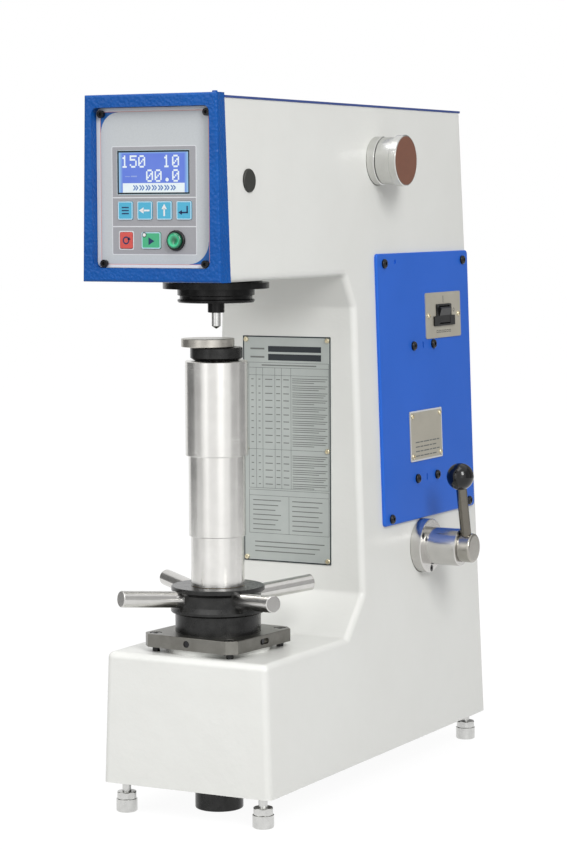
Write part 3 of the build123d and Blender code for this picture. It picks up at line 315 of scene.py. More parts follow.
metals = {
    "tube": turnedMetal("tubeSteel", {
        "rough": 0.24, "dark": steelDark, "light": steelLight,
        "ringScale": 5200.0, "ringDepth": 0.000012, "cloudScale": 55.0}),
    "block": turnedMetal("blockSteel", {
        "rough": 0.3, "dark": (0.42, 0.40, 0.36), "light": (0.60, 0.58, 0.53),
        "ringScale": 3000.0, "ringDepth": 0.00001, "cloudScale": 120.0}),
    "tip": turnedMetal("tipSteel", {
        "rough": 0.18, "dark": (0.56, 0.56, 0.55), "light": (0.70, 0.70, 0.69),
        "ringScale": 4000.0, "ringDepth": 0.00001, "cloudScale": 60.0}),
    "lever": turnedMetal("leverSteel", {
        "rough": 0.2, "dark": (0.50, 0.49, 0.47), "light": (0.68, 0.67, 0.65),
        "ringScale": 3600.0, "ringDepth": 0.000015, "cloudScale": 70.0}, "X", (0.0, 0.261, 0.214)),
    "knob": turnedMetal("knobSteel", {
        "rough": 0.22, "dark": (0.52, 0.52, 0.50), "light": (0.70, 0.70, 0.68),
        "ringScale": 3600.0, "ringDepth": 0.000018, "cloudScale": 70.0}, "X", (0.0, 0.189, 0.5843)),
    "bar": groundMetal("barSteel", {
        "rough": 0.22, "dark": (0.56, 0.55, 0.53), "light": (0.68, 0.67, 0.65),
        "cloudScale": 80.0, "scratchDepth": 0.000001}, (3200.0, 3200.0, 3200.0)),
    "rod": groundMetal("rodSteel", {
        "rough": 0.2, "dark": (0.13, 0.12, 0.10), "light": (0.22, 0.205, 0.18),
        "cloudScale": 60.0, "scratchDepth": 0.000001}, (3200.0, 3200.0, 3200.0)),
    "hub": turnedMetal("hubSteel", {
        "rough": 0.24, "dark": (0.34, 0.325, 0.29), "light": (0.48, 0.465, 0.43),
        "ringScale": 3600.0, "ringDepth": 0.00001, "cloudScale": 70.0}, "X", (0.0, 0.261, 0.214)),
    "seat": groundMetal("seatSteel", {
        "rough": 0.36, "dark": (0.13, 0.125, 0.11), "light": (0.26, 0.255, 0.235),
        "cloudScale": 70.0, "scratchDepth": 0.00002}, (1400.0, 60.0, 300.0)),
    "inner": groundMetal("innerSteel", {
        "rough": 0.4, "dark": (0.32, 0.31, 0.30), "light": (0.5, 0.49, 0.47),
        "cloudScale": 50.0, "scratchDepth": 0.00003}),
    "zinc": groundMetal("zincPlate", {
        "rough": 0.3, "dark": (0.50, 0.50, 0.49), "light": (0.72, 0.72, 0.70),
        "cloudScale": 160.0, "scratchDepth": 0.00001}, (500.0, 500.0, 500.0)),
    "brass": groundMetal("brassPlate", {
        "rough": 0.3, "dark": (0.62, 0.54, 0.36), "light": (0.86, 0.80, 0.62),
        "cloudScale": 200.0, "scratchDepth": 0.00001}, (500.0, 500.0, 500.0)),
    "bronze": turnedMetal("bronze", {
        "rough": 0.34, "dark": (0.40, 0.27, 0.12), "light": (0.60, 0.42, 0.2),
        "ringScale": 3000.0, "ringDepth": 0.00001, "cloudScale": 60.0}),
    "iron": groundMetal("weightIron", {
        "rough": 0.55, "dark": (0.05, 0.05, 0.052), "light": (0.1, 0.1, 0.1),
        "cloudScale": 60.0, "scratchDepth": 0.00004}, (300.0, 300.0, 300.0)),
    "black": blackenedMetal("blackenedSteel", {
        "metal": 0.75, "rough": 0.27, "coat": 0.06, "deep": (0.022, 0.022, 0.022), "worn": (0.050, 0.050, 0.049)}),
    "shroud": blackenedMetal("shroudBlack", {
        "metal": 0.6, "rough": 0.23, "coat": 0.05, "deep": (0.006, 0.006, 0.006), "worn": (0.026, 0.026, 0.026)}),
    "screw": blackenedMetal("screwBlack", {
        "metal": 0.25, "rough": 0.2, "coat": 0.3, "deep": (0.003, 0.003, 0.004), "worn": (0.014, 0.014, 0.016)}),
}
others = {
    "panel": smoothPlastic("panelFilm", (0.52, 0.545, 0.56), 0.34, 0.3),
    "chart": labelMetal("chartFoil", {
        "metal": 0.2, "coat": 0.3, "rough": 0.32, "dark": (0.40, 0.43, 0.415), "light": (0.50, 0.535, 0.51),
        "brush": (40.0, 40.0, 900.0), "brushDepth": 0.00001, "cloudScale": 40.0}),
    "plate": labelMetal("plateFoil", {
        "metal": 0.25, "coat": 0.1, "rough": 0.34, "dark": (0.42, 0.395, 0.325), "light": (0.54, 0.51, 0.43),
        "brush": (900.0, 40.0, 900.0), "brushDepth": 0.00001, "cloudScale": 40.0}),
    "screen": screenGlow({
        "middle": -0.0016, "half": 0.0362, "bottom": 0.5532, "top": 0.5906, "strength": 0.85,
        "deep": (0.085, 0.16, 0.72), "violet": (0.16, 0.26, 0.80), "rim": (0.42, 0.80, 0.90),
        "rimFrom": 0.84, "unevenScale": 45.0}),
    "blackPlastic": smoothPlastic("blackPlastic", (0.006, 0.006, 0.0065), 0.32, 0.1),
    "ball": smoothPlastic("ballPlastic", (0.002, 0.002, 0.0025), 0.14, 0.25, 0.0),
    "plug": smoothPlastic("plugPlastic", (0.034, 0.035, 0.030), 0.5, 0.0),
    "keyBlue": smoothPlastic("keyBlue", (0.075, 0.42, 0.62), 0.3, 0.3),
    "keyRed": smoothPlastic("keyRed", (0.62, 0.085, 0.07), 0.3, 0.3),
    "keyGreen": smoothPlastic("keyGreen", (0.06, 0.42, 0.21), 0.3, 0.3),
    # green button: the ring stops paint a bright reflection ring and painted shade in the dish centre and at the rim
    "button": buttonWithPaintedLight({
        "axis": (0.021, 0.514), "radius": 0.007, "rough": 0.16, "coat": 0.5,
        "rings": [(0.0, (0.004, 0.10, 0.045)), (0.30, (0.006, 0.16, 0.07)), (0.55, (0.03, 0.42, 0.20)),
                  (0.68, (0.05, 0.55, 0.28)), (0.80, (0.01, 0.25, 0.11)), (1.0, (0.003, 0.09, 0.04))]}),
    "brown": laminate({
        "dark": (0.12, 0.042, 0.022), "light": (0.25, 0.095, 0.052),
        "weaveScale": 900.0, "weaveDepth": 0.00003, "blotScale": 120.0}),
    "circuit": smoothPlastic("circuitGreen", (0.02, 0.13, 0.05), 0.4, 0.3),
}
print("materials made")

finishes = {
    paints["cast"]: ["frame_casting"],
    paints["bezel"]: ["display_bezel", "lid_screws"],
    paints["cover"]: ["side_cover"],
    paints["lid"]: ["top_cover"],
    metals["screw"]: ["panel_screws", "side_cover_screws", "socket_screws"],
    metals["black"]: ["screw_guard", "thrust_ring", "capstan_head", "anvil"],
    metals["shroud"]: ["spindle_shroud", "spindle"],
    metals["tube"]: ["upper_cover_tube", "middle_cover_tube", "lower_cover_tube", "elevating_screw"],
    metals["block"]: ["test_block"],
    metals["tip"]: ["indenter"],
    metals["lever"]: ["lever_flange"],
    metals["hub"]: ["lever_shaft"],
    metals["rod"]: ["lever_rod"],
    metals["knob"]: ["selector_ring", "selector_knob", "selector_shaft"],
    metals["bar"]: ["capstan_bars"],
    metals["seat"]: ["seat_plate"],
    metals["zinc"]: ["leveling_feet", "foot_nuts"],
    metals["brass"]: ["label_screws"],
    metals["bronze"]: ["lifting_nut", "spindle_guide"],
    metals["iron"]: ["weight_stack"],
    metals["inner"]: ["load_beam", "fulcrum_block", "hanger_rod", "dashpot_cylinder", "dashpot_piston"],
    others["panel"]: ["panel_plate"],
    others["chart"]: ["data_plate"],
    others["plate"]: ["name_plate", "switch_plate"],
    others["screen"]: ["lcd_screen"],
    others["blackPlastic"]: ["switch_body", "power_rocker", "button_collar", "mains_gland", "depth_sensor"],
    others["ball"]: ["lever_knob"],
    others["plug"]: ["head_plug"],
    others["keyBlue"]: ["key_function", "key_left", "key_up", "key_enter"],
    others["keyRed"]: ["key_reset"],
    others["keyGreen"]: ["key_start"],
    others["button"]: ["green_button"],
    others["brown"]: ["knob_face"],
    others["circuit"]: ["control_board"],
}
for material, names in finishes.items():
    for name in names:
        piece = nodes[name]
        piece.data.materials.clear()
        piece.data.materials.append(material)
left = sorted(set(nodes) - {name for names in finishes.values() for name in names})
print("nodes without a finish:", left)


# printed marks: drawn lying down in millimetres, given a thickness, then stood on their surface

mm = 0.001


def deselectAll():
    if bpy.context.mode != "OBJECT":
        bpy.ops.object.mode_set(mode="OBJECT")
    bpy.ops.object.select_all(action="DESELECT")


def hollowOut(line):
    if line:
        bpy.ops.mesh.inset(thickness=line * mm)
        bpy.ops.mesh.delete(type="ONLY_FACE")


def addPatch(x, y, width, height, corner=0.0, line=0.0, turn=0.0):
    centre = (x * mm, y * mm, 0.0)
    bpy.ops.mesh.primitive_plane_add(size=mm, location=centre)
    bpy.ops.transform.resize(value=(width, height, 1.0), center_override=centre)
    if turn:
        bpy.ops.transform.rotate(value=math.radians(turn), orient_axis="Z", center_override=centre)
    if corner:
        bpy.ops.mesh.bevel(affect="VERTICES", offset=corner * mm, segments=6)
    hollowOut(line)


def addDisc(x, y, radius, line=0.0, sides=32, turn=0.0):
    bpy.ops.mesh.primitive_circle_add(
        vertices=sides, radius=radius * mm, fill_type="NGON",
        location=(x * mm, y * mm, 0.0), rotation=(0.0, 0.0, math.radians(turn)))
    hollowOut(line)


cornerCurve = {"share": 0.97, "segments": 10, "profile": 0.09}


def addCornerFill(x, y, reach, right, up):
    middle = (x + right * reach / 2, y + up * reach / 2)
    addPatch(middle[0], middle[1], reach, reach)
    mesh = bmesh.from_edit_mesh(bpy.context.object.data)
    far = Vector(((x + right * reach) * mm, (y + up * reach) * mm, 0.0))
    nearest = min(mesh.verts, key=lambda v: (v.co - far).length)
    bpy.ops.mesh.select_all(action="DESELECT")
    bpy.ops.mesh.select_mode(type="VERT")
    nearest.select_set(True)
    mesh.select_flush(True)
    bmesh.update_edit_mesh(bpy.context.object.data)
    bpy.ops.mesh.bevel(affect="VERTICES", offset=reach * cornerCurve["share"] * mm,
                       segments=cornerCurve["segments"], profile=cornerCurve["profile"])


drawers = {"patch": addPatch, "disc": addDisc, "corner": addCornerFill}


def standOn(origin, right, up):
    right, up = Vector(right).normalized(), Vector(up).normalized()
    turn = Matrix((right, up, right.cross(up))).transposed().to_4x4()
    return Matrix.Translation(origin) @ turn


def printMarks(name, place, marks, material, body="frame", thickness=0.05):
    deselectAll()
    bpy.ops.mesh.primitive_plane_add(size=mm)
    piece = bpy.context.object
    piece.name = name
    bpy.ops.object.mode_set(mode="EDIT")
    bpy.ops.mesh.delete(type="VERT")
    for kind, *size in marks:
        drawers[kind](*size)
    bpy.ops.object.mode_set(mode="OBJECT")
    thick = piece.modifiers.new("thick", "SOLIDIFY")
    thick.thickness = thickness * mm
    thick.offset = 1.0
    bpy.ops.object.modifier_apply(modifier="thick")
    piece.matrix_world = place
    bpy.ops.object.transform_apply(location=True, rotation=True, scale=True)
    piece.data.materials.append(material)
    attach(piece, body)
    return piece


def frontPlace(y):
    return standOn((0.0, y * mm, 0.0), (1, 0, 0), (0, 0, 1))


inkGrain = {"scale": 1500.0, "darker": 0.82, "bleedScale": 160.0, "bleedDarker": 0.88}


def ink(name, color, rough=0.45):
    shade = Shade(name, specular=0.3)
    speck = shade.noise(shade.place(), inkGrain["scale"], 2.0, 0.5)
    shade.paint(
        color=shade.blend(speck, tuple(c * inkGrain["darker"] for c in color), color),
        rough=shade.between(speck, rough - 0.06, rough + 0.06))
    return shade.material


def lightInk(name, color, strength):
    shade = Shade(name, color=(0.02, 0.02, 0.02), rough=0.3, glowStrength=strength)
    bleed = shade.noise(shade.place(), inkGrain["bleedScale"], 2.0, 0.5)
    shade.paint(glow=shade.blend(bleed, tuple(c * inkGrain["bleedDarker"] for c in color), color))
    return shade.material


inks = {
    "white": ink("inkWhite", (0.80, 0.80, 0.80)),
    "pale": ink("inkPale", (0.70, 0.715, 0.74)),
    "red": ink("inkRed", (0.72, 0.30, 0.27)),
    "blue": ink("inkBlue", (0.012, 0.12, 0.40)),
    "field": ink("inkField", (0.345, 0.345, 0.365)),
    "navy": ink("inkNavy", (0.012, 0.03, 0.10)),
    "keyEdge": ink("inkKeyEdge", (0.52, 0.74, 0.86)),
    "black": ink("inkBlack", (0.008, 0.010, 0.014)),
    "slate": ink("inkSlate", (0.030, 0.036, 0.042)),
    "grey": ink("inkGrey", (0.155, 0.165, 0.16)),
    "faint": ink("inkFaint", (0.20, 0.21, 0.20)),
    "glow": lightInk("displayWhite", (0.86, 0.96, 1.0), 0.92),
    "glowBlue": lightInk("displayBlue", (0.10, 0.24, 0.62), 0.8),
    "glowFaint": lightInk("displayFaint", (0.30, 0.42, 0.86), 0.85),
}


# front panel film

panel = {
    "face": -104.1, "left": -57.7, "right": 57.7, "foot": 490.75, "head": 626.85,
    "borderCorner": 5.0, "border": 3.0, "extraSide": 1.0,
    "red": (-0.2, 558.6, 107.6, 130.6, 2.0, 0.45),
    "cornerUpper": (-53.9, 623.8, 17.5), "cornerLower": (53.4, 493.4, 19.5),
    "field": (-42.4, 40.8, 502.0, 594.0), "dividers": (550.5, 525.8),
    "keys": ["key_function", "key_left", "key_up", "key_enter", "key_reset", "key_start"],
    "window": (-37.6, 34.4, 553.2, 590.6), "keyMargin": 0.25,
    "button": (21.0, 514.0), "buttonSlices": ((1.9, 8.0), (3.8, 7.6), (5.7, 6.6), (7.6, 4.45)),
    "outline": (0.8, 1.6, 0.7), "dividerLine": 0.9, "resetRing": (2.4, 2.2, 1.6, 0.85),
}


def frontBox(corners):
    low, high = corners
    return low[0] / mm, high[0] / mm, low[2] / mm, high[2] / mm


def fieldStrips():
    left, right, foot, head = panel["field"]
    gap = panel["keyMargin"]
    holes = [(hole[0] - gap, hole[1] + gap, hole[2] - gap, hole[3] + gap)
             for hole in [panel["window"]] + [frontBox(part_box(name)) for name in panel["keys"]]]
    x, z = panel["button"]
    inner = 0.0
    for outer, half in panel["buttonSlices"]:
        holes.append((x - half, x + half, z + inner, z + outer))
        holes.append((x - half, x + half, z - outer, z - inner))
        inner = outer
    levels = sorted({foot, head} | {z for hole in holes for z in hole[2:]})
    strips = []
    for low, high in zip(levels, levels[1:]):
        middle = (low + high) / 2
        at = left
        for hole in sorted(h for h in holes if h[2] < middle < h[3]):
            if hole[0] > at:
                strips.append(("patch", (at + hole[0]) / 2, middle, hole[0] - at, high - low))
            at = max(at, hole[1])
        strips.append(("patch", (at + right) / 2, middle, right - at, high - low))
    return strips


def printPanel():
    place = frontPlace(panel["face"])
    width, height = panel["right"] - panel["left"], panel["head"] - panel["foot"]
    middle = (panel["head"] + panel["foot"]) / 2
    side = panel["right"] - panel["border"] - panel["extraSide"] / 2
    printMarks("panelBorder", place, [
        ("patch", 0.0, middle, width, height, panel["borderCorner"], panel["border"]),
        ("patch", -side, middle, panel["extraSide"], height - 2 * panel["border"] - 4.0),
        ("patch", side, middle, panel["extraSide"], height - 2 * panel["border"] - 4.0),
    ], inks["white"])
    printMarks("panelRedLine", place, [("patch", *panel["red"])], inks["red"], thickness=0.08)
    printMarks("panelCorners", place, [
        ("corner", *panel["cornerUpper"], 1, -1), ("corner", *panel["cornerLower"], -1, 1),
    ], inks["blue"], thickness=0.06)
    printMarks("panelField", place, fieldStrips(), inks["field"])
    left, right, foot, head = panel["field"]
    x, width = (left + right) / 2, right - left
    more, corner, line = panel["outline"]
    lines = [("patch", x, (foot + head) / 2, width + more, head - foot + more, corner, line)]
    lines += [("patch", x, z, width, panel["dividerLine"]) for z in panel["dividers"]]
    left, right, foot, head = frontBox(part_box("key_reset"))
    moreWide, moreHigh, corner, line = panel["resetRing"]
    lines.append(("patch", (left + right) / 2, (foot + head) / 2,
                  right - left + moreWide, head - foot + moreHigh, corner, line))
    printMarks("panelLines", place, lines, inks["pale"], thickness=0.09)


# display

digits = {
    "0": ("01110", "10001", "10011", "10101", "11001", "10001", "01110"),
    "1": ("00100", "01100", "00100", "00100", "00100", "00100", "01110"),
    "5": ("11111", "10000", "11110", "00001", "00001", "10001", "01110"),
}

display = {
    "face": -103.5, "middle": (-1.6, 571.9), "size": (71.6, 37.0), "border": 1.4,
    "cell": (1.38, 1.5), "rows": [
        (576.0, [("1", -33.6), ("5", -25.0), ("0", -16.5), ("1", 8.0), ("0", 17.0)]),
        (563.8, [("0", -8.8), ("0", -0.3), ("0", 17.0)])],
    "point": (12.0, 565.6, 3.2), "bar": (-1.5, 558.8, 61.4, 8.0),
    "arrows": [-20.5, -14.3, -8.1, -1.9, 4.3, 10.5, 16.7], "arrowHalf": 2.0925, "arrowLine": 1.15, "arrowGap": 2.4,
    "dashes": [(-27.4, 568.5, 5.0, 0.6), (-21.0, 568.6, 6.0, 1.1)],
}


def digitMarks(digit, left, foot):
    wide, tall = display["cell"]
    marks = []
    for row, dots in enumerate(reversed(digits[digit])):
        y = foot + (row + 0.5) * tall
        start = None
        for column, dot in enumerate(dots + "0"):
            if dot == "1" and start is None:
                start = column
            if dot == "0" and start is not None:
                marks.append(("patch", left + (start + column) / 2 * wide, y, (column - start) * wide, tall * 1.002))
                start = None
    return marks


def arrowMarks(x, y, half, weight):
    return [("patch", x, y + side * half / 2, 1.45 * half, weight, 0.0, 0.0, 90.0 - side * 45.0)
            for side in (1, -1)]


def printDisplay():
    place = frontPlace(display["face"])
    printMarks("displayBorder", place, [("patch", *display["middle"], *display["size"], 0.0, display["border"])],
               inks["black"])
    marks = [("patch", *display["bar"]), ("disc", display["point"][0], display["point"][1], display["point"][2] / 2)]
    for foot, row in display["rows"]:
        for digit, left in row:
            marks += digitMarks(digit, left, foot)
    printMarks("displayDigits", place, marks, inks["glow"], thickness=0.03)
    arrows = []
    for x in display["arrows"]:
        for shift in (0.0, display["arrowGap"]):
            arrows += arrowMarks(x + shift, display["bar"][1], display["arrowHalf"], display["arrowLine"])
    printMarks("displayArrows", place, arrows, inks["glowBlue"], thickness=0.05)
    printMarks("displayDashes", place, [("patch", *dash) for dash in display["dashes"]],
               inks["glowFaint"], thickness=0.03)


# keys

keySigns = {
    "key_function": [("patch", 0.0, z, 7.0, 1.1) for z in (-2.6, 0.0, 2.6)],
    "key_left": [("patch", 1.6, 0.0, 6.4, 1.5), ("disc", -2.6, 0.0, 3.0, 0.0, 3, 90.0)],
    "key_up": [("patch", 0.0, -1.6, 1.5, 6.4), ("disc", 0.0, 2.6, 3.0, 0.0, 3, 0.0)],
    "key_enter": [("patch", 0.6, -1.8, 6.6, 1.4), ("patch", 3.2, 0.8, 1.4, 6.0),
                  ("disc", -3.2, -1.8, 2.4, 0.0, 3, 90.0)],
    "key_reset": [("disc", 0.0, 0.0, 3.4, 1.2, 24), ("disc", 3.0, 1.4, 1.9, 0.0, 3, 0.0)],
    "key_start": [("disc", -0.6, -0.6, 3.9, 0.0, 3, -90.0)],
}

keys = {
    "face": -104.9, "edge": 0.8, "corner": 1.5, "inset": 0.05,
    "whiteSigns": ["key_left", "key_up"], "plainEdge": ["key_reset"],
    "lamp": {"key": "key_start", "inset": (2.7, 2.3), "radius": 1.5, "rim": 2.2},
}


def printKeys():
    place = frontPlace(keys["face"])
    for name in panel["keys"]:
        left, right, foot, head = frontBox(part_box(name))
        x, z = (left + right) / 2, (foot + head) / 2
        body = name + "_cap"
        if name not in keys["plainEdge"]:
            width, height = right - left - keys["inset"], head - foot - keys["inset"]
            printMarks(name + "_edge", place, [("patch", x, z, width, height, keys["corner"], keys["edge"])],
                       inks["keyEdge"], body)
        marks = [(kind, x + dx, z + dz, *rest) for kind, dx, dz, *rest in keySigns[name]]
        color = inks["white"] if name in keys["whiteSigns"] else inks["navy"]
        printMarks(name + "_sign", place, marks, color, body, 0.06)
        if name == keys["lamp"]["key"]:
            lamp = keys["lamp"]
            at = (left + lamp["inset"][0], head - lamp["inset"][1])
            printMarks("startLampRim", place, [("disc", *at, lamp["rim"])], inks["slate"], body, 0.08)
            printMarks("startLamp", place, [("disc", *at, lamp["radius"])], inks["white"], body, 0.12)


# chart on the column

chart = {
    "left": -46.5, "head": 421.25, "face": 132.2, "size": (93.0, 213.5), "edge": 1.2,
    "bars": [(27.0, 83.0, 9.5, 15.0), (27.0, 83.0, 17.0, 23.0)],
    "tables": [(6.0, 91.0, 25.0, 144.0), (6.0, 91.0, 145.5, 187.0)], "line": 0.35,
    "columns": (14.0, 21.0, 34.0, 41.0, 51.0), "rules": (30.0, 37.0, 107.0),
    "lowerRule": 151.0, "footer": (195.0, 199.5, 204.0),
    "rows": {"first": 41.0, "last": 143.0, "pitch": 6.6, "dash": 0.9, "clear": 2.5,
             "spareNarrow": 0.34, "spareWide": 0.2},
    "notes": {"left": 52.5, "reaches": (37.0, 35.0, 23.0), "longer": 5, "lift": 1.2, "pitch": 1.9, "dash": 0.7},
    "lowerRows": {"first": 155.5, "pitch": 4.6, "count": 7, "dash": 0.9,
                  "left": (10.0, 40.0, 3, 3), "right": (52.0, 84.0, 4, 2)},
    "footerDash": (12.0, 86.0, 5, 1.0), "labels": (8.0, 23.0, 1.6), "labelRows": (12.2, 20.0),
    "heading": (20.0, 78.0, 27.0, 28.2),
}


def chartPatch(left, right, head, foot, line=0.0):
    return ("patch", chart["left"] + (left + right) / 2, chart["head"] - (head + foot) / 2,
            right - left, foot - head, 0.0, line)


def printChart():
    place = frontPlace(chart["face"])
    width, height = chart["size"]
    printMarks("chartEdge", place, [chartPatch(0.1, width - 0.1, 0.1, height - 0.1, chart["edge"])],
               inks["slate"])
    printMarks("chartBars", place, [chartPatch(*bar) for bar in chart["bars"]], inks["slate"])
    line = chart["line"]
    lines = [chartPatch(*table, line) for table in chart["tables"]]
    left, right, head, foot = chart["tables"][0]
    lines += [chartPatch(x - line / 2, x + line / 2, chart["rules"][0], foot) for x in chart["columns"]]
    lines += [chartPatch(left, right, y - line / 2, y + line / 2) for y in chart["rules"]]
    middle = (chart["tables"][1][0] + chart["tables"][1][1]) / 2
    left, right, head, foot = chart["tables"][1]
    rule = chart["lowerRule"]
    lines.append(chartPatch(middle - line / 2, middle + line / 2, rule, foot))
    lines.append(chartPatch(left, right, rule - line / 2, rule + line / 2))
    printMarks("chartLines", place, lines, inks["grey"], thickness=0.04)
    printMarks("chartRows", place, chartDashes(), inks["faint"], thickness=0.04)


def chartDash(left, right, middle, thick):
    return chartPatch(left, right, middle - thick / 2, middle + thick / 2)


def chartDashes():
    rows, notes, lower = chart["rows"], chart["notes"], chart["lowerRows"]
    table = chart["tables"][0]
    edges = (table[0],) + chart["columns"]
    dashes = []
    row = rows["first"]
    count = 0
    while row < rows["last"]:
        if abs(row - chart["rules"][-1]) > rows["clear"]:
            for cell, (left, right) in enumerate(zip(edges, edges[1:])):
                spare = (right - left) * (rows["spareWide"] if cell > 1 else rows["spareNarrow"])
                dashes.append(chartDash(left + spare, right - spare, row, rows["dash"]))
            for step, reach in enumerate(notes["reaches"]):
                reach += notes["longer"] * (count % 3) if step == 2 else 0
                dashes.append(chartDash(notes["left"], notes["left"] + reach,
                                        row - notes["lift"] + notes["pitch"] * step, notes["dash"]))
        row += rows["pitch"]
        count += 1
    for k in range(lower["count"]):
        for left, right, shorter, cycle in (lower["left"], lower["right"]):
            dashes.append(chartDash(left, right - shorter * (k % cycle),
                                    lower["first"] + lower["pitch"] * k, lower["dash"]))
    left, right, shorter, thick = chart["footerDash"]
    dashes += [chartDash(left, right - shorter * k, y, thick) for k, y in enumerate(chart["footer"])]
    left, right, thick = chart["labels"]
    dashes += [chartDash(left, right, y, thick) for y in chart["labelRows"]]
    dashes.append(chartPatch(*chart["heading"]))
    return dashes


# plates on the side cover, drawn from the middle of each plate

sideSlope = 0.034

plates = {
    "proud": 3.8, "foot": (85.5, 28.0),
    "name": {"at": (271.7, 320.8), "size": (72.3, 48.6), "corner": 1.4, "edge": 1.4, "dash": 1.1,
             "rows": (-6.2, -10.6, -15.0, -19.4), "left": -25.0, "words": (9.0, 6.5, 12.0, 5.0, 8.5, 6.0),
             "space": 1.4},
    "switch": {"at": (319.0, 435.2), "stroke": (0.0, 15.2, 0.9, 6.6), "ring": (24.3, 4.0, 1.9, 0.55),
               "dashes": (-17.5, 17.5, -16.1), "dashCount": 6, "dashShare": 0.72, "dashSize": (2.4, 0.5)},
}


def sidePlace(y, z):
    half, foot = plates["foot"]
    normal = Vector((1.0, 0.0, sideSlope)).normalized()
    origin = Vector((half - sideSlope * (z - foot), y, z)) + normal * plates["proud"]
    return standOn(origin * mm, (0, 1, 0), (-sideSlope, 0, 1))


def printPlates():
    name = plates["name"]
    place = sidePlace(*name["at"])
    width, height = name["size"]
    edge = ("patch", 0.0, 0.0, width - 0.2, height - 0.2, name["corner"], name["edge"])
    printMarks("namePlateEdge", place, [edge], inks["pale"], thickness=0.04)
    rows = []
    for k, y in enumerate(name["rows"]):
        at = name["left"]
        for word in name["words"][: len(name["words"]) - k % 2]:
            rows.append(("patch", at + word / 2, y, word, name["dash"]))
            at += word + name["space"]
    printMarks("namePlateRows", place, rows, inks["grey"], thickness=0.04)
    switch = plates["switch"]
    place = sidePlace(*switch["at"])
    x, y, radius, line = switch["ring"]
    marks = [("patch", *switch["stroke"]), ("disc", x, y, radius, line)]
    left, right, y = switch["dashes"]
    step = (right - left) / switch["dashCount"]
    high, line = switch["dashSize"]
    marks += [("patch", left + step * (k + 0.5), y, step * switch["dashShare"], high, 0.0, line)
              for k in range(switch["dashCount"])]
    printMarks("switchPlateSigns", place, marks, inks["slate"], thickness=0.04)


printPanel()
printDisplay()
printKeys()
printChart()
printPlates()
print("printed marks made")


# camera, floor and lights

view = {"at": (1.1471, -2.0107, 0.5448), "yaw": 28.232, "pitch": 4.866, "roll": -0.258,
        "lens": 110.12, "sensor": 36.0, "far": 60.0}


def addCamera():
    yaw, pitch, roll = (math.radians(view[key]) for key in ("yaw", "pitch", "roll"))
    ahead = Vector((-math.sin(yaw) * math.cos(pitch), math.cos(yaw) * math.cos(pitch), -math.sin(pitch)))
    right = Vector((math.cos(yaw), math.sin(yaw), 0.0))
    up = right.cross(ahead)
    right, up = math.cos(roll) * right + math.sin(roll) * up, math.cos(roll) * up - math.sin(roll) * right
    data = bpy.data.cameras.new("camera")
    data.lens = view["lens"]
    data.sensor_width = view["sensor"]
    data.clip_end = view["far"]
    camera = bpy.data.objects.new("camera", data)
    bpy.context.scene.collection.objects.link(camera)
    turn = Matrix((right, up, -ahead)).transposed().to_4x4()
    camera.matrix_world = Matrix.Translation(view["at"]) @ turn
    bpy.context.scene.camera = camera


studio = {
    "floorSize": 24.0, "floorColor": (0.45, 0.45, 0.45), "floorGlow": 1.18, "floorShare": 0.8,
    "ambient": 0.54, "aim": (0.0, 0.12, 0.3),
    "lamps": [
        {"name": "key", "at": (-1.5, -2.5, 1.8), "size": (1.3, 1.9), "power": 27.0},
        {"name": "fill", "at": (2.1, -1.6, 2.0), "size": (0.9, 1.6), "power": 58.0},
        {"name": "top", "at": (-0.2, -0.5, 2.7), "size": (1.6, 1.6), "power": 16.0},
    ],
    # cards stand round the machine and show only in its metal and gloss
    "cards": [
        {"name": "cardLeft", "bearing": -100.0, "reach": 2.9, "wide": 0.6, "high": 2.2, "grey": 1.6},
        {"name": "cardLeftDark", "bearing": -131.0, "reach": 2.5, "wide": 1.2, "high": 2.2, "grey": 0.42},
        {"name": "cardFront", "bearing": -46.0, "reach": 3.0, "wide": 1.2, "high": 2.2, "grey": 1.6},
        {"name": "cardRightFront", "bearing": 8.0, "reach": 2.0, "wide": 1.2, "high": 2.0, "grey": 0.5},
        {"name": "cardRight", "bearing": 48.0, "reach": 2.0, "wide": 1.5, "high": 2.2, "grey": 0.36},
        {"name": "cardRightRear", "bearing": 92.0, "reach": 2.2, "wide": 1.7, "high": 2.2, "grey": 0.28},
        {"name": "cardLeftRear", "bearing": -171.0, "reach": 2.0, "wide": 1.8, "high": 2.2, "grey": 0.2},
    ],
}


def addFloor():
    deselectAll()
    bpy.ops.mesh.primitive_plane_add(size=studio["floorSize"], location=(0, 0, 0))
    floor = bpy.context.object
    floor.name = "floor"
    shade = Shade("floorWhite", color=studio["floorColor"], rough=0.8, specular=0.1)
    path = shade.node("ShaderNodeLightPath")
    seen = path.socket.node.outputs
    direct = shade.calc("MAXIMUM", Wire(shade, seen["Is Camera Ray"]), Wire(shade, seen["Is Glossy Ray"]))
    direct = shade.calc("MAXIMUM", direct, Wire(shade, seen["Is Transmission Ray"]))
    white = shade.node("ShaderNodeEmission", inputs={"Color": (1.0, 1.0, 1.0), "Strength": studio["floorGlow"]})
    mix = shade.node("ShaderNodeMixShader", inputs={
        0: direct * studio["floorShare"], 1: Wire(shade, shade.surface.outputs[0]), 2: white})
    out = next(n for n in shade.tree.nodes if n.type == "OUTPUT_MATERIAL")
    shade.tree.links.new(mix.socket, out.inputs["Surface"])
    floor.data.materials.append(shade.material)


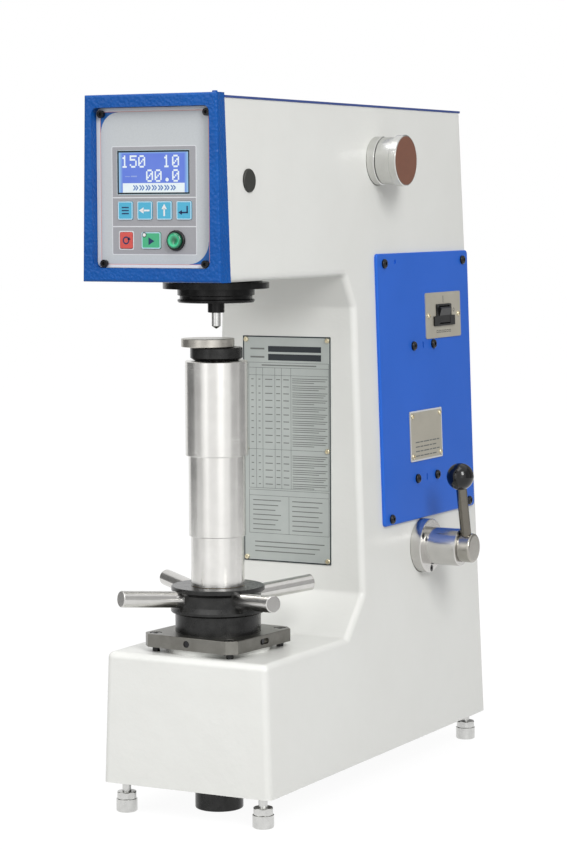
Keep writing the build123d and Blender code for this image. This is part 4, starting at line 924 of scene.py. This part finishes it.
def addCard(card):
    deselectAll()
    bearing = math.radians(card["bearing"])
    away = Vector((math.cos(bearing), math.sin(bearing), 0.0))
    bpy.ops.mesh.primitive_plane_add(
        size=1.0, location=away * card["reach"] + Vector((0.0, 0.0, card["high"] / 2)),
        rotation=(math.pi / 2, 0.0, bearing + math.pi / 2))
    piece = bpy.context.object
    piece.name = card["name"]
    piece.scale = (card["wide"], card["high"], 1.0)
    bpy.ops.object.transform_apply(location=True, rotation=True, scale=True)
    shade = Shade(card["name"] + "Grey", color=(0.0, 0.0, 0.0), rough=1.0, specular=0.0,
                  glow=(card["grey"],) * 3, glowStrength=1.0)
    piece.data.materials.append(shade.material)
    for kind in ("camera", "diffuse", "transmission", "volume_scatter", "shadow"):
        setattr(piece, "visible_" + kind, False)


def addLamp(lamp):
    data = bpy.data.lights.new(lamp["name"], "AREA")
    data.shape = "RECTANGLE"
    data.size, data.size_y = lamp["size"]
    data.energy = lamp["power"]
    light = bpy.data.objects.new(lamp["name"], data)
    bpy.context.scene.collection.objects.link(light)
    light.location = lamp["at"]
    aim = Vector(studio["aim"]) - Vector(lamp["at"])
    light.rotation_euler = aim.to_track_quat("-Z", "Y").to_euler()


def addSky():
    world = bpy.data.worlds.new("studio")
    world.use_nodes = True
    bpy.context.scene.world = world
    tree = world.node_tree
    path = tree.nodes.new("ShaderNodeLightPath")
    most = path.outputs["Is Camera Ray"]
    for name in ("Is Glossy Ray", "Is Transmission Ray"):
        larger = tree.nodes.new("ShaderNodeMath")
        larger.operation = "MAXIMUM"
        tree.links.new(most, larger.inputs[0])
        tree.links.new(path.outputs[name], larger.inputs[1])
        most = larger.outputs[0]
    strength = tree.nodes.new("ShaderNodeMapRange")
    strength.inputs["To Min"].default_value = studio["ambient"]
    strength.inputs["To Max"].default_value = 1.0
    tree.links.new(most, strength.inputs["Value"])
    sky = tree.nodes["Background"]
    sky.inputs["Color"].default_value = (1.0, 1.0, 1.0, 1.0)
    tree.links.new(strength.outputs["Result"], sky.inputs["Strength"])
    bpy.context.scene.view_settings.view_transform = "Standard"


addCamera()
addFloor()
for card in studio["cards"]:
    addCard(card)
for lamp in studio["lamps"]:
    addLamp(lamp)
addSky()
print("camera and studio set")
